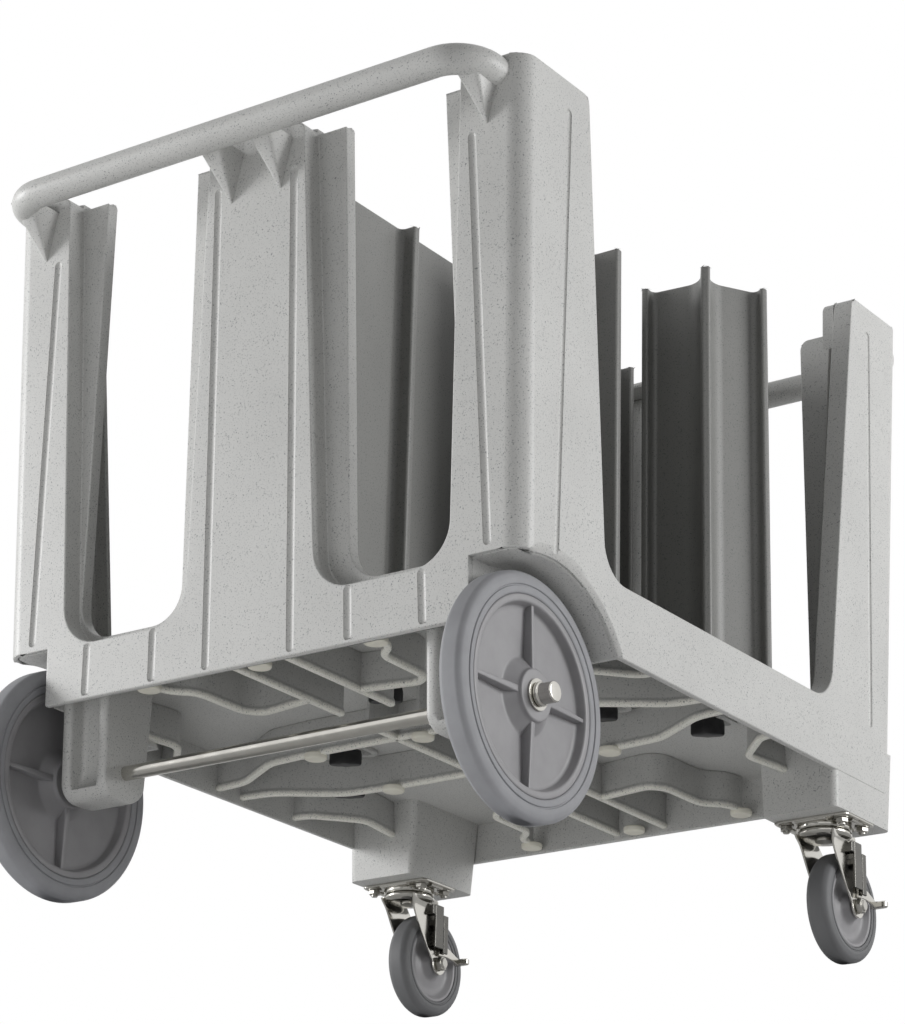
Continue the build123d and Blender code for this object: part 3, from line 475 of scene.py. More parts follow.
def linked(name, data):
    """New object of a mesh, lamp or camera, linked to the scene."""
    obj = bpy.data.objects.new(name, data)
    bpy.context.collection.objects.link(obj)
    return obj


def applied(obj):
    """Mesh of an object with its modifiers applied."""
    view = bpy.context.evaluated_depsgraph_get()
    return bpy.data.meshes.new_from_object(obj.evaluated_get(view))


def mesh_piece(name, shells, slot, body, stands_for=(), angle=35.0, finish=None):
    """Puts closed shells into one piece that rides on a body. Edges sharper than the angle stay
    sharp. The finish is the slot's unless another is given."""
    mesh = bpy.data.meshes.new(name)
    mesh.from_pydata(*joined(shells))
    mesh.update()
    mesh.polygons.foreach_set("use_smooth", np.ones(len(mesh.polygons), bool))
    mesh.set_sharp_from_angle(angle=radians(angle))
    obj = linked(name, mesh)
    dress(obj, finish or slot)
    if stands_for:
        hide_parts(*stands_for)
    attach(obj, body)


def modify(obj, kind, **settings):
    """Puts a modifier with its settings on an object."""
    modifier = obj.modifiers.new(kind.lower(), kind)
    for key, value in settings.items():
        setattr(modifier, key, value)


def opened(mesh, flat=0.0):
    """Working copy of a mesh. Where flat is set, its loose triangles are joined, and faces within
    that angle of one plane are made whole."""
    bm = bmesh.new()
    bm.from_mesh(mesh)
    if flat:
        bmesh.ops.remove_doubles(bm, verts=bm.verts, dist=NEAR)
        bmesh.ops.dissolve_limit(bm, angle_limit=radians(flat), verts=bm.verts, edges=bm.edges)
    return bm


def triangles(bm, mesh):
    """Writes a working copy back into a mesh as triangles."""
    bmesh.ops.triangulate(bm, faces=bm.faces)
    bm.to_mesh(mesh)
    bm.free()


def welded(names):
    """One mesh from solids that touch or overlap, as a boolean union of their copies."""
    copies = []
    for name in names:
        mesh = bpy.data.meshes.new("copy_" + name)
        bm = opened(NODES[name].data, 0.3)
        bm.to_mesh(mesh)
        bm.free()
        copies.append(bpy.data.objects.new(mesh.name, mesh))
    base, rest = copies[0], bpy.data.collections.new("rest")
    bpy.context.collection.objects.link(base)
    bpy.context.scene.collection.children.link(rest)
    for other in copies[1:]:
        rest.objects.link(other)
    if len(copies) > 1:
        modify(base, "BOOLEAN", operation="UNION", solver="EXACT", operand_type="COLLECTION",
               collection=rest)
    mesh = applied(base)
    for item in copies:
        bpy.data.objects.remove(item)
    bpy.data.collections.remove(rest)
    return mesh


def carved(mesh, shells):
    """The welded mesh with grooves cut where closed shells meet it."""
    triangles(opened(mesh), mesh)
    base = linked("carve_base", mesh)
    tool_mesh = bpy.data.meshes.new("carve_tool")
    tool_mesh.from_pydata(*joined(shells))
    tool = linked("carve_tool", tool_mesh)
    modify(base, "BOOLEAN", operation="DIFFERENCE", solver="MANIFOLD", object=tool)
    out = applied(base)
    for item in (base, tool):
        bpy.data.objects.remove(item)
    return out


# Angle over which an edge counts as sharp, and distance within which points are joined.
SHARP, NEAR = radians(28.0), 2e-5
# An edge is rounded only where the room beside it is over the first number times the width. The
# round takes at most the second number times the room, and room over the third isn't looked for.
LEAST_ROOM, ROOM_SHARE, MOST_ROOM = 1.8, 0.4, 2.5


def room_beside(edge, sharp, width):
    """Room for the round of a sharp edge: the reach of the narrower face beside it, or the length
    of a shorter sharp edge that leaves one of its corners to the side."""
    start = edge.verts[0].co
    line = (edge.verts[1].co - start).normalized()
    room = MOST_ROOM * width
    for face in edge.link_faces:
        far = max((v.co - start - line * (v.co - start).dot(line)).length for v in face.verts)
        room = min(room, far)
    for corner in edge.verts:
        ahead = line if corner == edge.verts[1] else -line
        for near in corner.link_edges:
            away = (near.other_vert(corner).co - corner.co).normalized()
            if near in sharp and near != edge and ahead.dot(away) < 0.8:
                room = min(room, near.calc_length())
    return room


def eased_piece(name, nodes, body, width, finish="body_plastic", grooves=(), upright=False):
    """Union of body plastic solids, with grooves cut in and its sharp edges rounded over. Where
    upright is set, only the edges that stand up are rounded."""
    mesh = welded(nodes)
    if grooves:
        mesh = carved(mesh, grooves)
    bm = opened(mesh, 0.4)
    layer = bm.edges.layers.float.new("bevel_weight_edge")
    sharp = {e for e in bm.edges if len(e.link_faces) == 2 and e.calc_face_angle(0.0) > SHARP}
    for edge in sharp:
        line = (edge.verts[1].co - edge.verts[0].co).normalized()
        if upright and abs(line.z) < 0.9:
            edge.smooth = False
            continue
        room = room_beside(edge, sharp, width)
        edge.smooth = room > LEAST_ROOM * width
        edge[layer] = min(1.0, ROOM_SHARE * room / width) if edge.smooth else 0.0
    triangles(bm, mesh)
    mesh.name = name
    mesh.polygons.foreach_set("use_smooth", np.ones(len(mesh.polygons), bool))
    obj = linked(name, mesh)
    modify(obj, "BEVEL", limit_method="WEIGHT", width=width, segments=3, use_clamp_overlap=False,
           harden_normals=True, miter_outer="MITER_ARC")
    modify(obj, "WEIGHTED_NORMAL", keep_sharp=True)
    dress(obj, finish)
    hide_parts(*nodes)
    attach(obj, body)


# ---------------- operators
class CartOperator(bpy.types.Operator):
    """Shared ground of the cart's operators."""

    bl_options = {"REGISTER", "UNDO"}


class CART_OT_finishes(CartOperator):
    """Gives every solid of the frame the finish of its slot"""

    bl_idname = "cart.finishes"
    bl_label = "Finish the Solids"

    def execute(self, context):
        for part in frame["record"]["subparts"]:
            name = part["node"]
            if name not in NODES:
                raise RuntimeError("the frame has no node " + name)
            dress(NODES[name], part["material_slot"])
        return {"FINISHED"}


# Width of the round on the edges of the body, of the dividers and of the caster housings.
BODY_EASE, GUIDE_EASE, HOUSING_EASE = 0.0018, 0.0016, 0.005


def groove_lines(s):
    """Grooves up the posts and the end walls, as closed shells that stand half in the wall and
    take the raised lines of the solids away with them."""
    foot, corner_foot = s.skirt + 0.0035, 0.268
    shells = []
    for end in (-1, 1):
        for high, places in ((0.749, (-0.056, 0.056)), (0.2588, (-0.223, -0.13, 0.13, 0.223))):
            shells += [end_groove(s, x, end, foot, high) for x in places]
        for x_sign in (-1, 1):
            shells.append(end_groove(s, x_sign * 0.302, end, corner_foot, 0.722))
            shells.append(side_groove(s, x_sign, end * 0.33, corner_foot, 0.767))
    return shells


def end_groove(s, x, end, low, high):
    """Line up an end wall, which leans to the middle by a share of x over the height."""
    share = 0.07
    z = np.array([low, high])
    lean = x * (1.0 - share * (z - low) / (s.top - s.skirt))
    y = end * (s.half_length + s.end_draft * (z - s.skirt))
    return groove(np.stack([lean, y, z], -1), np.array([0.0, end, 0.0]))


def side_groove(s, x_sign, y, low, high):
    """Line up a corner post on the long side."""
    z = np.array([low, high])
    x = x_sign * (s.half_width + s.side_draft * (z - s.skirt))
    return groove(np.stack([x, np.full(2, y), z], -1), np.array([x_sign, 0.0, 0.0]))


def groove(ends, out):
    """Long shell between two points: half an oval inside the wall and a block outside; near both
    ends its width and depth follow a quarter circle, so that the ends are round."""
    half, deep, proud = 0.0052, 0.0027, 0.0045
    length = np.linalg.norm(ends[1] - ends[0])
    t = np.linspace(0.12, pi / 2, 6)
    near = half * (1.0 - np.cos(t))
    along = np.concatenate([near, length - near[::-1]])
    size = np.concatenate([np.sin(t), np.sin(t[::-1])])
    path = ends[0] + (ends[1] - ends[0]) * (along / length)[:, None]
    flat = oval(half, deep, 2.0, 16)
    block = [(half, 0.0), (half * 1.04, proud), (-half * 1.04, proud), (-half, 0.0)]
    flat = np.vstack([flat[flat[:, 1] < 0.0], block])
    flat = flat[np.argsort(np.arctan2(flat[:, 1] - 0.0005, flat[:, 0]))]
    section = np.repeat(flat[None], len(size), 0)
    section[:, :, 0] *= size[:, None]
    section[:, :, 1] *= np.where(flat[:, 1] < 0.0, size[:, None], 1.0)
    return swept(path, section, up=out)


class CART_OT_body(CartOperator):
    """Makes the moulded body in one piece, with grooves and eased edges, and the dividers"""

    bl_idname = "cart.body"
    bl_label = "Moulded Body"

    def execute(self, context):
        shell = [n for n in NODES if n.endswith("_post")]
        shell += ["rear_end_panel", "front_end_panel", "side_rails", "wheel_wells"]
        lines = groove_lines(context.scene.cart_sizes)
        eased_piece("moulded_body", shell, "cart_body", BODY_EASE, grooves=lines)
        for name in [n for n in NODES if n.startswith("divider_")]:
            guide = name.replace("divider_", "guide_")
            eased_piece(guide, [name], name + "_set", GUIDE_EASE, "guide_plastic")
        return {"FINISHED"}


def rib_routes(s, pad_x, pad_y, pad_end):
    """Routes of the ribs: across from pad to pad, from the end pads to the middle, round a
    pocket beside each well and housing, and two long lines beside the middle."""
    wall, middle = s.half_width - 0.004, 0.034
    cross = [(0.0, pad_y + 0.002), (pad_x, pad_y + 0.002), (0.218, 0.072), (0.292, 0.026),
             (wall, 0.022)]
    ends = [(pad_x, pad_end), (pad_x - 0.003, pad_end - 0.028), (pad_x - 0.027, pad_end - 0.048),
            (pad_x - 0.029, 0.243), (pad_x - 0.044, 0.226), (middle, 0.238)]
    pocket = [(wall, 0.124), (0.314, 0.126), (0.267, 0.178), (0.277, 0.25)]
    stub = [(middle, s.half_length - 0.003), (middle, 0.18)]
    lines = []
    for f in (-1, 1):
        lines.append([(-x, f * y) for x, y in cross[:0:-1]] + [(x, f * y) for x, y in cross])
        for g in (-1, 1):
            lines += [[(g * x, f * y) for x, y in route] for route in (ends, pocket, stub)]
    return lines + [[(g * middle, -0.133), (g * middle, 0.14)] for g in (-1, 1)]


def beaded_rib(points, low, high):
    """Thin upright wall along a line with turned corners; its section ends below in a bead."""
    path = rounded([(x, y, 0.0) for x, y in points], 0.014, 7, False)
    half, bead = 0.0021, 0.0042
    section = [(half, high), (half, low + 0.009), (bead, low + 0.0055), (bead, low), (-bead, low),
               (-bead, low + 0.0055), (-half, low + 0.009), (-half, high)]
    return swept(path, rounded(section, 0.0026, 5))


def deck_pads(low, pad_x, pad_y, pad_end):
    """Twelve round pads on a grid, each a turned disc with an eased edge."""
    outline = [(low - 0.004, 0.0), (low - 0.004, 0.0128), (low + 0.003, 0.0132), (low + 0.003, 0.0)]
    disc = rounded(outline, 0.0022, 5, False)
    return [lathe(disc, (x, y, 0.0), 40, "Z")
            for y in (-pad_end, -pad_y, pad_y, pad_end) for x in (-pad_x, 0.0, pad_x)]


def channel_bracket(s):
    """Drafted leg with an open channel towards the wheel end. At each height the section is a
    rounded U: the depth shrinks by a line, the foot closes by a quarter circle, and the channel
    runs out by a quarter circle just above the foot."""
    lo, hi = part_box("axle_brackets")
    inner = s.wheel_face - s.wheel_width - 0.01 - 0.069
    outer, foot, head, turn = hi[0], lo[2], hi[2] + 0.002, 0.02
    t = slowing(0.86, 14, 0.1, 12)
    z = head + (foot - head) * t
    drop = np.clip((z[-1] + turn - z) / turn, 0.0, 1.0)
    close = 1.0 - np.sqrt(1.0 - 0.98 * drop**2)
    near = np.clip((z - foot - 0.012) / 0.018, 0.0, 1.0)
    channel = 0.019 * np.sqrt(1.0 - (1.0 - near) ** 2) + 0.0004
    half = 0.04 - 0.0075 * t - turn * close
    a, b = inner + 0.0135, outer - 0.0125
    rings = []
    for level, h, q, c in zip(z, half, 0.008 * close, channel):
        x0, x1 = inner + q, outer - q * 0.3
        flat = [(x0, -h), (a, -h), (a + 0.003, c - h), (b - 0.003, c - h), (b, -h), (x1, -h),
                (x1, h), (x0, h)]
        rings.append(laid(rounded(flat, 0.0055, 6), level, 0.0, s.axle_place))
    return skin(rings)


class CART_OT_underside(CartOperator):
    """Makes what is seen from below: ribs with beaded edges, pads, brackets and housings"""

    bl_idname = "cart.underside"
    bl_label = "Underside"

    def execute(self, context):
        s = context.scene.cart_sizes
        eased_piece("front_housings", ["caster_housings"], "cart_body", HOUSING_EASE, upright=True)
        low, high = s.skirt + 0.006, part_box("deck")[0][2] + 0.004
        grid = (0.438 * s.half_width, 0.194 * s.half_length, s.half_length - 0.021)
        ribs = [beaded_rib(line, low, high) for line in rib_routes(s, *grid)]
        mesh_piece("beaded_ribs", ribs, "body_plastic", "cart_body", ["underside_ribs"], 50.0,
                   "rib_plastic")
        mesh_piece("round_pads", deck_pads(low, *grid), "pad_plastic", "cart_body",
                   ["underside_pads"])
        leg = channel_bracket(s)
        mesh_piece("channel_brackets", [leg, mirrored(leg)], "body_plastic", "cart_body",
                   ["axle_brackets"], 50.0)
        return {"FINISHED"}


# Depth of the rubber between tread and rim, on the large wheels and on the caster wheels.
BIG_DEPTH, SMALL_DEPTH = 0.024, 0.0175


def large_tyre_profile(s):
    """Section of the tyre: flat tread, turned edges, a stepped groove beside the shoulder."""
    w0, w1, r = s.wheel_face - s.wheel_width, s.wheel_face, s.wheel_radius
    rim = r - BIG_DEPTH
    half = [(w1 - 0.006, r), (w1 - 0.0015, r - 0.0035), (w1, r - 0.009), (w1, r - 0.0145),
            (w1 - 0.0016, r - 0.015), (w1 - 0.0016, r - 0.0162), (w1, r - 0.0168),
            (w1 - 0.0006, rim + 0.0015), (w1 - 0.0016, rim)]
    return rounded(both_sides(half, w0 + w1), 0.0022, 5)


def large_core_profile(s):
    """Section of the centre: flat rim flange, deep dish, web and a coned hub."""
    w0, w1, rim = s.wheel_face - s.wheel_width, s.wheel_face, s.wheel_radius - BIG_DEPTH
    mid = (w0 + w1) / 2
    half = [(w1 - 0.001, rim - 0.00005), (w1 - 0.001, rim - 0.008), (mid + 0.004, rim - 0.0105),
            (mid + 0.003, rim - 0.014), (mid + 0.003, 0.04), (w1 - 0.001, 0.0275),
            (w1 + 0.003, 0.0265), (w1 + 0.003, 0.01202)]
    return rounded(both_sides(half, w0 + w1), 0.0022, 5)


def sleeve_profile(s):
    """Section of the flanged sleeve in the hub."""
    w0, w1 = s.wheel_face - s.wheel_width - 0.003, s.wheel_face + 0.003
    half = [(w1, 0.012), (w1, 0.0165), (w1 + 0.0025, 0.0165), (w1 + 0.0025, 0.00805)]
    return rounded(both_sides(half, w0 + w1), 0.0007, 4)


def wheel_web(s, quarter, out):
    """Radial web on one side: thin and low at the rim, thicker and as high as the hub inside."""
    mid, rim = s.wheel_face - s.wheel_width / 2, s.wheel_radius - BIG_DEPTH
    t = np.linspace(0.0, 1.0, 8)
    rings = []
    for d, h, k in zip(0.02 + (rim - 0.009 - 0.02) * t, s.wheel_width / 2 * (1.0 - 0.25 * t),
                       0.0042 - 0.002 * t):
        rings.append(laid(oval(h / 2, k, 7.0, 20) * (out, 1.0), d, mid + out * h / 2))
    x, across, along = np.moveaxis(np.array(rings), -1, 0)
    a = quarter * pi / 2
    y = across * cos(a) - along * sin(a) + s.axle_place
    z = across * sin(a) + along * cos(a) + s.wheel_radius
    return skin(np.stack([x, y, z], -1))


class CART_OT_large_wheels(CartOperator):
    """Makes the large wheels: stepped tyre, dished centre with four webs, sleeve and cap nut"""

    bl_idname = "cart.large_wheels"
    bl_label = "Large Wheels"

    def execute(self, context):
        s = context.scene.cart_sizes
        centre = (0.0, s.axle_place, s.wheel_radius)
        tyre = lathe(large_tyre_profile(s), centre, 128)
        core = [lathe(large_core_profile(s), centre, 128)]
        core += [wheel_web(s, quarter, out) for quarter in range(4) for out in (-1, 1)]
        sleeve = lathe(sleeve_profile(s), centre, 48)
        parts = (("_large_tyre", [tyre], "big_tyre", "_wheel_tyre"),
                 ("_wheel_centre", core, "wheel_plastic", "_wheel_core"),
                 ("_hub_sleeve", [sleeve], "bright_steel", "_wheel_sleeve"))
        for side, sign in LEFT_RIGHT:
            for name, shells, slot, node in parts:
                shells = shells if sign > 0 else [mirrored(shell) for shell in shells]
                mesh_piece(side + name, shells, slot, side + "_large_wheel", [side + node])
        tip = s.wheel_face + 0.006
        outline = [(tip, 0.0), (tip, 0.0125), (tip + 0.004, 0.0125), (tip + 0.0045, 0.0108),
                   (tip + 0.0185, 0.0108), (tip + 0.0195, 0.0095), (tip + 0.0195, 0.0)]
        nut = lathe(rounded(outline, 0.0009, 4, False), centre, 48)
        mesh_piece("axle_nuts", [nut, mirrored(nut)], "bright_steel", "cart_body",
                   ["axle_cap_nuts"])
        bar = lathe(rod(-tip, tip, 0.008), centre, 48)
        mesh_piece("axle_bar", [bar], "bright_steel", "cart_body", ["rear_axle"])
        return {"FINISHED"}


def bent_route(p, radius):
    """Polyline whose inner corners are quarter circles."""
    out = [p[0]]
    for before, here, after in zip(p[:-2], p[1:-1], p[2:]):
        u = (before - here) / np.linalg.norm(before - here)
        v = (after - here) / np.linalg.norm(after - here)
        centre = here + (u + v) * radius
        for a in np.linspace(0.0, pi / 2, 12):
            out.append(centre - v * radius * cos(a) - u * radius * sin(a))
    out.append(p[-1])
    full = [out[0]]
    for a, b in zip(out[:-1], out[1:]):
        n = max(1, int(np.linalg.norm(b - a) / 0.03))
        full += [a + (b - a) * k / n for k in range(1, n + 1)]
    return np.array(full)


def handle_corbel(x, sign, root, far, high, low):
    """Web under the bar: its half width and its reach shrink evenly from the bar to the tip."""
    inner = root - sign * 0.002
    rings = []
    for k in np.linspace(0.0, 1.0, 14):
        outer = far + (root + sign * 0.004 - far) * k**0.92
        flat = oval(0.0155 * (1.0 - k) + 0.0012, abs(outer - inner) / 2, 6.0, 24)
        rings.append(laid(flat, high + (low + 0.001 - high) * k, x, (outer + inner) / 2))
    return skin(rings)


class CART_OT_handles(CartOperator):
    """Makes the two round handle bars with their tapered corbels"""

    bl_idname = "cart.handles"
    bl_label = "Handles"

    def execute(self, context):
        s = context.scene.cart_sizes
        for end, sign in (("rear", -1.0), ("front", 1.0)):
            lo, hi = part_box(end + "_handle")
            high = hi[2] - s.bar_radius
            far = sign * (max(abs(lo[1]), abs(hi[1])) - s.bar_radius)
            wide = hi[0] - s.bar_radius
            root = sign * (s.end_face - 0.006)
            corners = ((-wide, root), (-wide, far), (wide, far), (wide, root))
            path = bent_route(np.array([(x, y, high) for x, y in corners]), s.bar_bend)
            shells = [swept(path, oval(s.bar_radius, s.bar_radius, 2.0, 32))]
            for x in (-wide + 0.012, -0.034, 0.034, wide - 0.012):
                shells.append(handle_corbel(x, sign, root, far, high, lo[2]))
            mesh_piece(end + "_handle_bar", shells, "body_plastic", "cart_body",
                       [end + "_handle"], 50.0)
        return {"FINISHED"}


def top_plate(x, y):
    """Plate with four raised beads and the rolled upper race under it."""
    top = 0.1546
    race = [(top - 0.003, 0.022), (top - 0.003, 0.031), (top - 0.006, 0.0318),
            (top - 0.0095, 0.0312), (top - 0.0108, 0.0295), (top - 0.0108, 0.022)]
    shells = [slab((x, y, top - 0.0016), (0.048, 0.036, 0.0015), 12.0, 0.0008, 40),
              lathe(rounded(race, 0.0016, 5), (x, y, 0.0), 64, "Z")]
    for dx, dy, hx, hy in ((-0.04, 0.0, 0.0, 0.012), (0.04, 0.0, 0.0, 0.012),
                           (0.0, -0.031, 0.02, 0.0), (0.0, 0.031, 0.02, 0.0)):
        ends = [(x + dx + k * hx, y + dy + k * hy, top - 0.0032) for k in (-1, 1)]
        shells.append(swept(ends, oval(0.0035, 0.0022, 2.0, 16)))
    return shells


def plate_bolts(x, y):
    """Four washers with hexagon nuts and short thread ends below the plate."""
    low, seat = 0.1447, 0.1502
    end = [(0.142, 0.0), (0.142, 0.0034), (0.1426, 0.004), (0.1448, 0.004), (0.1448, 0.0)]
    shells = []
    for dx, dy in ((-0.036, -0.024), (0.036, -0.024), (-0.036, 0.024), (0.036, 0.024)):
        at = (x + dx, y + dy, 0.0)
        shells += [lathe(rod(seat, 0.1514, 0.0088), at, 28, "Z"), hexagon(0.0075, low, seat, at),
                   lathe(end, at, 20, "Z")]
    return shells


def fork_crown(x, y):
    """Lower race and dished crown of the fork, one turned profile."""
    outline = [(0.1433, 0.0), (0.1433, 0.03), (0.1415, 0.0318), (0.1385, 0.0316),
               (0.1365, 0.0295), (0.1345, 0.0255), (0.1335, 0.0)]
    return lathe(rounded(outline, 0.0018, 5, False), (x, y, 0.0), 64, "Z")


def fork_leg(x, y, s, k):
    """Pressed leg of the fork. Its front edge sweeps back by a power of the way down to the foot,
    its back edge runs nearly straight, and the foot is rounded about the wheel bolt."""
    top, end, foot = 0.14, 0.0135, 0.84
    t = slowing(0.8, 20, 0.08, 14)
    z = top + (s.caster_radius - end - top) * t
    down = np.clip(t / foot, 0, 1)
    front = -0.025 + (s.caster_trail - end + 0.025) * down**1.25
    back = 0.027 + (s.caster_trail + end - 0.027) * down**0.9
    low = np.clip((s.caster_radius - z) / end, 0.0, 1.0)
    width = np.sqrt(np.maximum(1.0 - low**2, 0.01))
    out = 0.02 + 0.004 * np.exp(-((t / 0.1) ** 2))
    rings = []
    for level, m, h, o in zip(z, (front + back) / 2, (back - front) / 2 * width, out):
        flat = oval(0.0015, h, 8.0, 32)
        curl = 0.0022 * (1.0 - (flat[:, 1] / h) ** 2) - 0.0011
        flat[:, 0] = k * (o + flat[:, 0] - curl * 0.4)
        rings.append(laid(flat, level, x, y + m))
    return skin(rings)


def brake_strips(x, y):
    """Two upright strips of the brake on the outer side, and the two spacers that carry them."""
    blocks = ((0.0275, 0.027, 0.1075, (0.0014, 0.0085, 0.027), 0.0006),
              (0.0275, 0.041, 0.1, (0.0014, 0.0045, 0.024), 0.0006),
              (0.0245, 0.034, 0.112, (0.004, 0.013, 0.0035), 0.0008),
              (0.0245, 0.018, 0.1275, (0.004, 0.006, 0.006), 0.0008))
    return [slab((x + dx, y + dy, z), half, 9.0, soft, 24) for dx, dy, z, half, soft in blocks]


def wheel_bolt(hub):
    """Wheel bolt with its hexagon head, lock nut and collar."""
    bolt = lathe(rod(-0.0225, 0.0305, 0.005), hub, 24)
    head = hexagon(0.009, -0.028, -0.0215, hub, "X")
    nut = hexagon(0.009, 0.0215, 0.0285, hub, "X")
    dome = [(0.0285, 0.0), (0.0285, 0.0068), (0.03, 0.0058), (0.0306, 0.0)]
    return [bolt, head, nut, lathe(dome, hub, 24)]


def small_tyre_profile(s):
    """Section of the small tyre: crowned tread, round shoulders and a shallow side groove."""
    w, r = s.caster_width / 2, s.caster_radius
    rim = r - SMALL_DEPTH
    half = [(w - 0.007, r - 0.0003), (w - 0.0018, r - 0.004), (w, r - 0.01),
            (w - 0.0004, r - 0.0125), (w - 0.0016, r - 0.013), (w - 0.0016, r - 0.0142),
            (w - 0.0006, r - 0.0148), (w - 0.001, rim + 0.0006), (w - 0.0018, rim)]
    return rounded(both_sides(half), 0.0025, 5)


def small_core_profile(s):
    """Section of the small wheel centre: shallow cone from the rim to a short hub."""
    w, rim = s.caster_width / 2, s.caster_radius - SMALL_DEPTH
    half = [(w - 0.0018, rim - 0.00005), (w - 0.0018, rim - 0.0035), (0.0065, rim - 0.009),
            (0.0055, rim - 0.016), (0.0085, 0.0185), (0.015, 0.0145), (0.017, 0.0125),
            (0.017, 0.00505)]
    return rounded(both_sides(half), 0.003, 5)


def brake_lever(x, y, s):
    """Brake lever: a strip from the pivot back to a broad foot tab with a turned end."""
    py, pz = y + s.caster_trail + 0.004, s.caster_radius + 0.017
    face = x + 0.0233
    path = rounded([(face, py - 0.009, pz), (face, py + 0.006, pz), (face, py + 0.02, pz - 0.0035),
                    (face, py + 0.033, pz - 0.0075)], 0.006, 5, False)
    shares = np.linspace(0.0, 1.0, len(path))
    strip = swept(path, np.array([oval(0.0013, 0.0078 - 0.004 * k, 5.0, 20) for k in shares]))
    tab = slab((face + 0.0035, py + 0.036, pz - 0.0075), (0.0105, 0.004, 0.004), 5.0, 0.0015,
               28)
    stud = lathe([(0.0, 0.0), (0.0, 0.003), (0.0052, 0.003), (0.006, 0.0022), (0.006, 0.0)],
                 (x + 0.0215, py, pz), 20)
    return [strip, tab, stud]


class CART_OT_casters(CartOperator):
    """Makes the swivel casters: plates, ball races, forks, wheels, bolts and brakes"""

    bl_idname = "cart.casters"
    bl_label = "Swivel Casters"

    def execute(self, context):
        s = context.scene.cart_sizes
        plates, bolts = [], []
        for side, sign in LEFT_RIGHT:
            x, y = sign * s.caster_x, s.caster_y
            plates += top_plate(x, y)
            bolts += plate_bolts(x, y)
            swivel, wheel = side + "_caster_swivel", side + "_caster_wheel"
            hub = (x, y + s.caster_trail, s.caster_radius)
            fork = [fork_crown(x, y)] + [fork_leg(x, y, s, k) for k in (-1, 1)]
            mesh_piece(side + "_fork", fork, "bright_steel", swivel, [side + "_caster_fork"])
            mesh_piece(side + "_brake_strips", brake_strips(x, y), "bright_steel", swivel,
                       finish="dark_steel")
            outline = [(0.1328, 0.0), (0.1328, 0.0105), (0.1363, 0.011), (0.1363, 0.0)]
            pin = lathe(outline, (x, y, 0.0), 32, "Z")
            tyre = lathe(small_tyre_profile(s), hub, 96)
            core = lathe(small_core_profile(s), hub, 96)
            for name, shells, slot, body, node in (
                    ("_king_pin", [pin], "zinc_steel", swivel, "_caster_king_pin"),
                    ("_wheel_bolt", wheel_bolt(hub), "zinc_steel", swivel, "_caster_axle_bolt"),
                    ("_small_tyre", [tyre], "caster_tyre", wheel, "_caster_tyre"),
                    ("_small_centre", [core], "wheel_plastic", wheel, "_caster_core"),
                    ("_brake", brake_lever(x, y, s), "bright_steel", side + "_brake_lever",
                     "_caster_brake")):
                mesh_piece(side + name, shells, slot, body, [side + node])
        mesh_piece("top_plates", plates, "bright_steel", "cart_body", ["caster_plates"])
        mesh_piece("plate_bolts", bolts, "zinc_steel", "cart_body", ["caster_plate_bolts"], 20.0)
        return {"FINISHED"}


def lobed_knob(centre, low, high):
    """Lobed grip: the radius is that of the hub plus a cosine power in two directions, and
    each level has its own share of the lobes; the rim is rounded over."""
    a = np.linspace(0.0, 2 * pi, 72, endpoint=False)
    wings = np.abs(np.cos(a - radians(30.0))) ** 7
    levels = ((0.0, 0.006, 0.0085), (0.02, 0.0078, 0.01), (0.1, 0.0086, 0.0104),
              (0.55, 0.009, 0.01), (0.8, 0.009, 0.009), (0.9, 0.0088, 0.004),
              (0.97, 0.0086, 0.0005), (1.0, 0.0078, 0.0))
    rings = []
    for share, hub, lobe in levels:
        r = hub + lobe * wings
        flat = np.stack([r * np.cos(a), r * np.sin(a)], -1)
        rings.append(laid(flat, low + share * (high - low), centre[0], centre[1]))
    return skin(rings)


class CART_OT_clamps(CartOperator):
    """Makes the clamp knobs with their lobes"""

    bl_idname = "cart.clamps"
    bl_label = "Clamps"

    def execute(self, context):
        for name in [n for n in NODES if n.startswith("clamp_knob_")]:
            lo, hi = (np.array(v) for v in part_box(name))
            centre = (lo + hi) / 2
            mesh_piece(name.replace("clamp_knob", "grip"), [lobed_knob(centre, lo[2], hi[2])],
                       "knob_plastic", name + "_set", [name], 40.0)
        return {"FINISHED"}


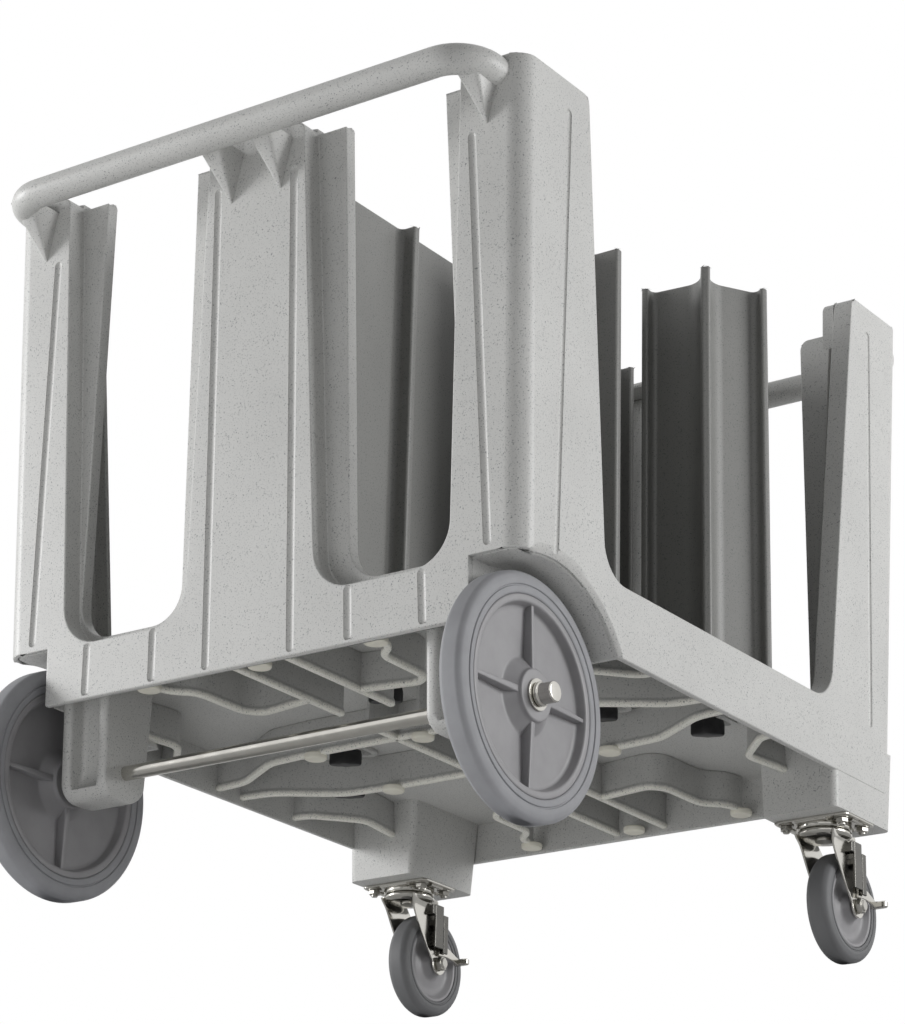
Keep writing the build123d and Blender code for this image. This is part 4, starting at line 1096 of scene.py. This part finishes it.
def make_floor():
    """Large pale floor. Seen from below it is clear. From above it takes the shadow, glows a
    little to the eye alone, and fades into the white world with the distance from the cart."""
    reach, glow, start, end = 9.0, 0.42, 0.9, 2.6
    mesh = bpy.data.meshes.new("studio_floor")
    corners = [(x * reach, y * reach, 0.0) for x, y in ((-1, -1), (1, -1), (1, 1), (-1, 1))]
    mesh.from_pydata(corners, [], [(0, 1, 2, 3)])
    obj = linked("studio_floor", mesh)
    mat, tree, surface = new_finish("pale_floor")
    surface.inputs["Base Color"].default_value = (0.9, 0.9, 0.9, 1.0)
    surface.inputs["Roughness"].default_value = 0.8
    diffuse = surface.outputs["BSDF"]
    path = node_of(tree, "LightPath")
    seen = path.outputs["Is Camera Ray"]
    light = node_of(tree, "Emission", [("Strength", glow)])
    pale = node_of(tree, "AddShader",
                   links=[(0, diffuse), (1, light.outputs["Emission"])])
    near = mixed(tree, seen, diffuse, pale.outputs["Shader"])
    place = node_of(tree, "TexCoord")
    away = node_of(tree, "VectorMath", links=[(0, place.outputs["Object"])],
                   operation="LENGTH")
    fade = node_of(tree, "MapRange", [("From Min", start), ("From Max", end)],
                   [("Value", away.outputs["Value"])], interpolation_type="SMOOTHSTEP")
    far = node_of(tree, "Math", links=[(0, fade.outputs["Result"]), (1, seen)],
                  operation="MULTIPLY")
    side = node_of(tree, "NewGeometry")
    gone = greatest(tree, far.outputs["Value"], side.outputs["Backfacing"],
                    path.outputs["Is Shadow Ray"])
    clear = node_of(tree, "BsdfTransparent")
    out = [n for n in tree.nodes if n.bl_idname == "ShaderNodeOutputMaterial"][0]
    tree.links.new(mixed(tree, gone, near, clear.outputs["BSDF"]), out.inputs["Surface"])
    mesh.materials.append(mat)


def make_world(scene):
    """White to the eye, softer as a light."""
    world = bpy.data.worlds.new("white_studio")
    scene.world = world
    world.use_nodes = True
    tree = world.node_tree
    tree.nodes.clear()
    white = ("Color", (1.0, 1.0, 1.0, 1.0))
    seen = node_of(tree, "Background", [white, ("Strength", 1.0)])
    lit = node_of(tree, "Background", [white, ("Strength", 0.14)])
    path = node_of(tree, "LightPath")
    bright = greatest(tree, path.outputs["Is Camera Ray"], path.outputs["Is Glossy Ray"],
                      path.outputs["Is Transmission Ray"])
    both = mixed(tree, bright, lit.outputs["Background"], seen.outputs["Background"])
    node_of(tree, "OutputWorld", links=[("Surface", both)])


def make_lamps():
    """Three broad lamps: from the wheel end, from the right and from below."""
    for name, place, aim, size, power in (
            ("wheel_end_lamp", (-3.7, -2.4, 1.2), (0.0, -0.3, 0.45), 1.8, 118.0),
            ("right_lamp", (3.4, 1.2, 1.1), (0.0, 0.0, 0.4), 1.8, 72.0),
            ("low_lamp", (-0.2, -2.4, -1.4), (0.0, 0.0, 0.3), 2.0, 15.0)):
        light = bpy.data.lights.new(name, "AREA")
        light.shape = "DISK"
        light.size = size
        light.energy = power
        obj = linked(name, light)
        obj.location = place
        obj.rotation_euler = (Vector(aim) - Vector(place)).to_track_quat("-Z", "Y").to_euler()
        obj.visible_camera = False


def make_camera(scene):
    """Camera low beside the wheel end, looking up along the cart."""
    place = (1.944854, -2.739353, -0.820716)
    turn, tilt, roll = radians(35.673), radians(21.387), radians(1.504)
    ahead = Vector((-sin(turn) * cos(tilt), cos(turn) * cos(tilt), sin(tilt)))
    right = Vector((cos(turn), sin(turn), 0.0))
    up = right.cross(ahead)
    side = right * cos(roll) + up * sin(roll)
    top = up * cos(roll) - right * sin(roll)
    data = bpy.data.cameras.new("photo_camera")
    data.sensor_width = 36.0
    focal, tall = 3107.079, 1024.0  # in pixels of the photograph
    data.lens = focal / tall * data.sensor_width
    data.clip_end = 60.0
    obj = linked("photo_camera", data)
    axes = Matrix((side, top, -ahead)).transposed().to_4x4()
    obj.matrix_world = Matrix.Translation(place) @ axes
    scene.camera = obj


class CART_OT_stage(CartOperator):
    """Makes the floor, the lamps, the world and the camera"""

    bl_idname = "cart.stage"
    bl_label = "Stage"

    def execute(self, context):
        scene = context.scene
        scene.view_settings.view_transform = "Standard"
        make_floor()
        make_world(scene)
        make_lamps()
        make_camera(scene)
        return {"FINISHED"}


class CART_PT_panel(bpy.types.Panel):
    """Lists the cart's operators"""

    bl_idname = "CART_PT_panel"
    bl_label = "Plate Cart"
    bl_space_type = "VIEW_3D"
    bl_region_type = "UI"
    bl_category = "Plate Cart"

    def draw(self, context):
        for step in STEPS:
            self.layout.operator(step.bl_idname)


STEPS = (
    CART_OT_finishes,
    CART_OT_body,
    CART_OT_underside,
    CART_OT_large_wheels,
    CART_OT_handles,
    CART_OT_casters,
    CART_OT_clamps,
    CART_OT_stage,
)
CLASSES = (CartSizes, CartColours) + STEPS + (CART_PT_panel,)


def register():
    for item in CLASSES:
        bpy.utils.register_class(item)
    bpy.types.Scene.cart_sizes = PointerProperty(type=CartSizes)
    bpy.types.Scene.cart_colours = PointerProperty(type=CartColours)


def unregister():
    del bpy.types.Scene.cart_colours
    del bpy.types.Scene.cart_sizes
    for item in reversed(CLASSES):
        bpy.utils.unregister_class(item)


def main():
    """Registers the add-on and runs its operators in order."""
    register()
    bpy.ops.cart.finishes()
    bpy.ops.cart.body()
    bpy.ops.cart.underside()
    bpy.ops.cart.large_wheels()
    bpy.ops.cart.handles()
    bpy.ops.cart.casters()
    bpy.ops.cart.clamps()
    bpy.ops.cart.stage()


if __name__ == "__main__":
    main()
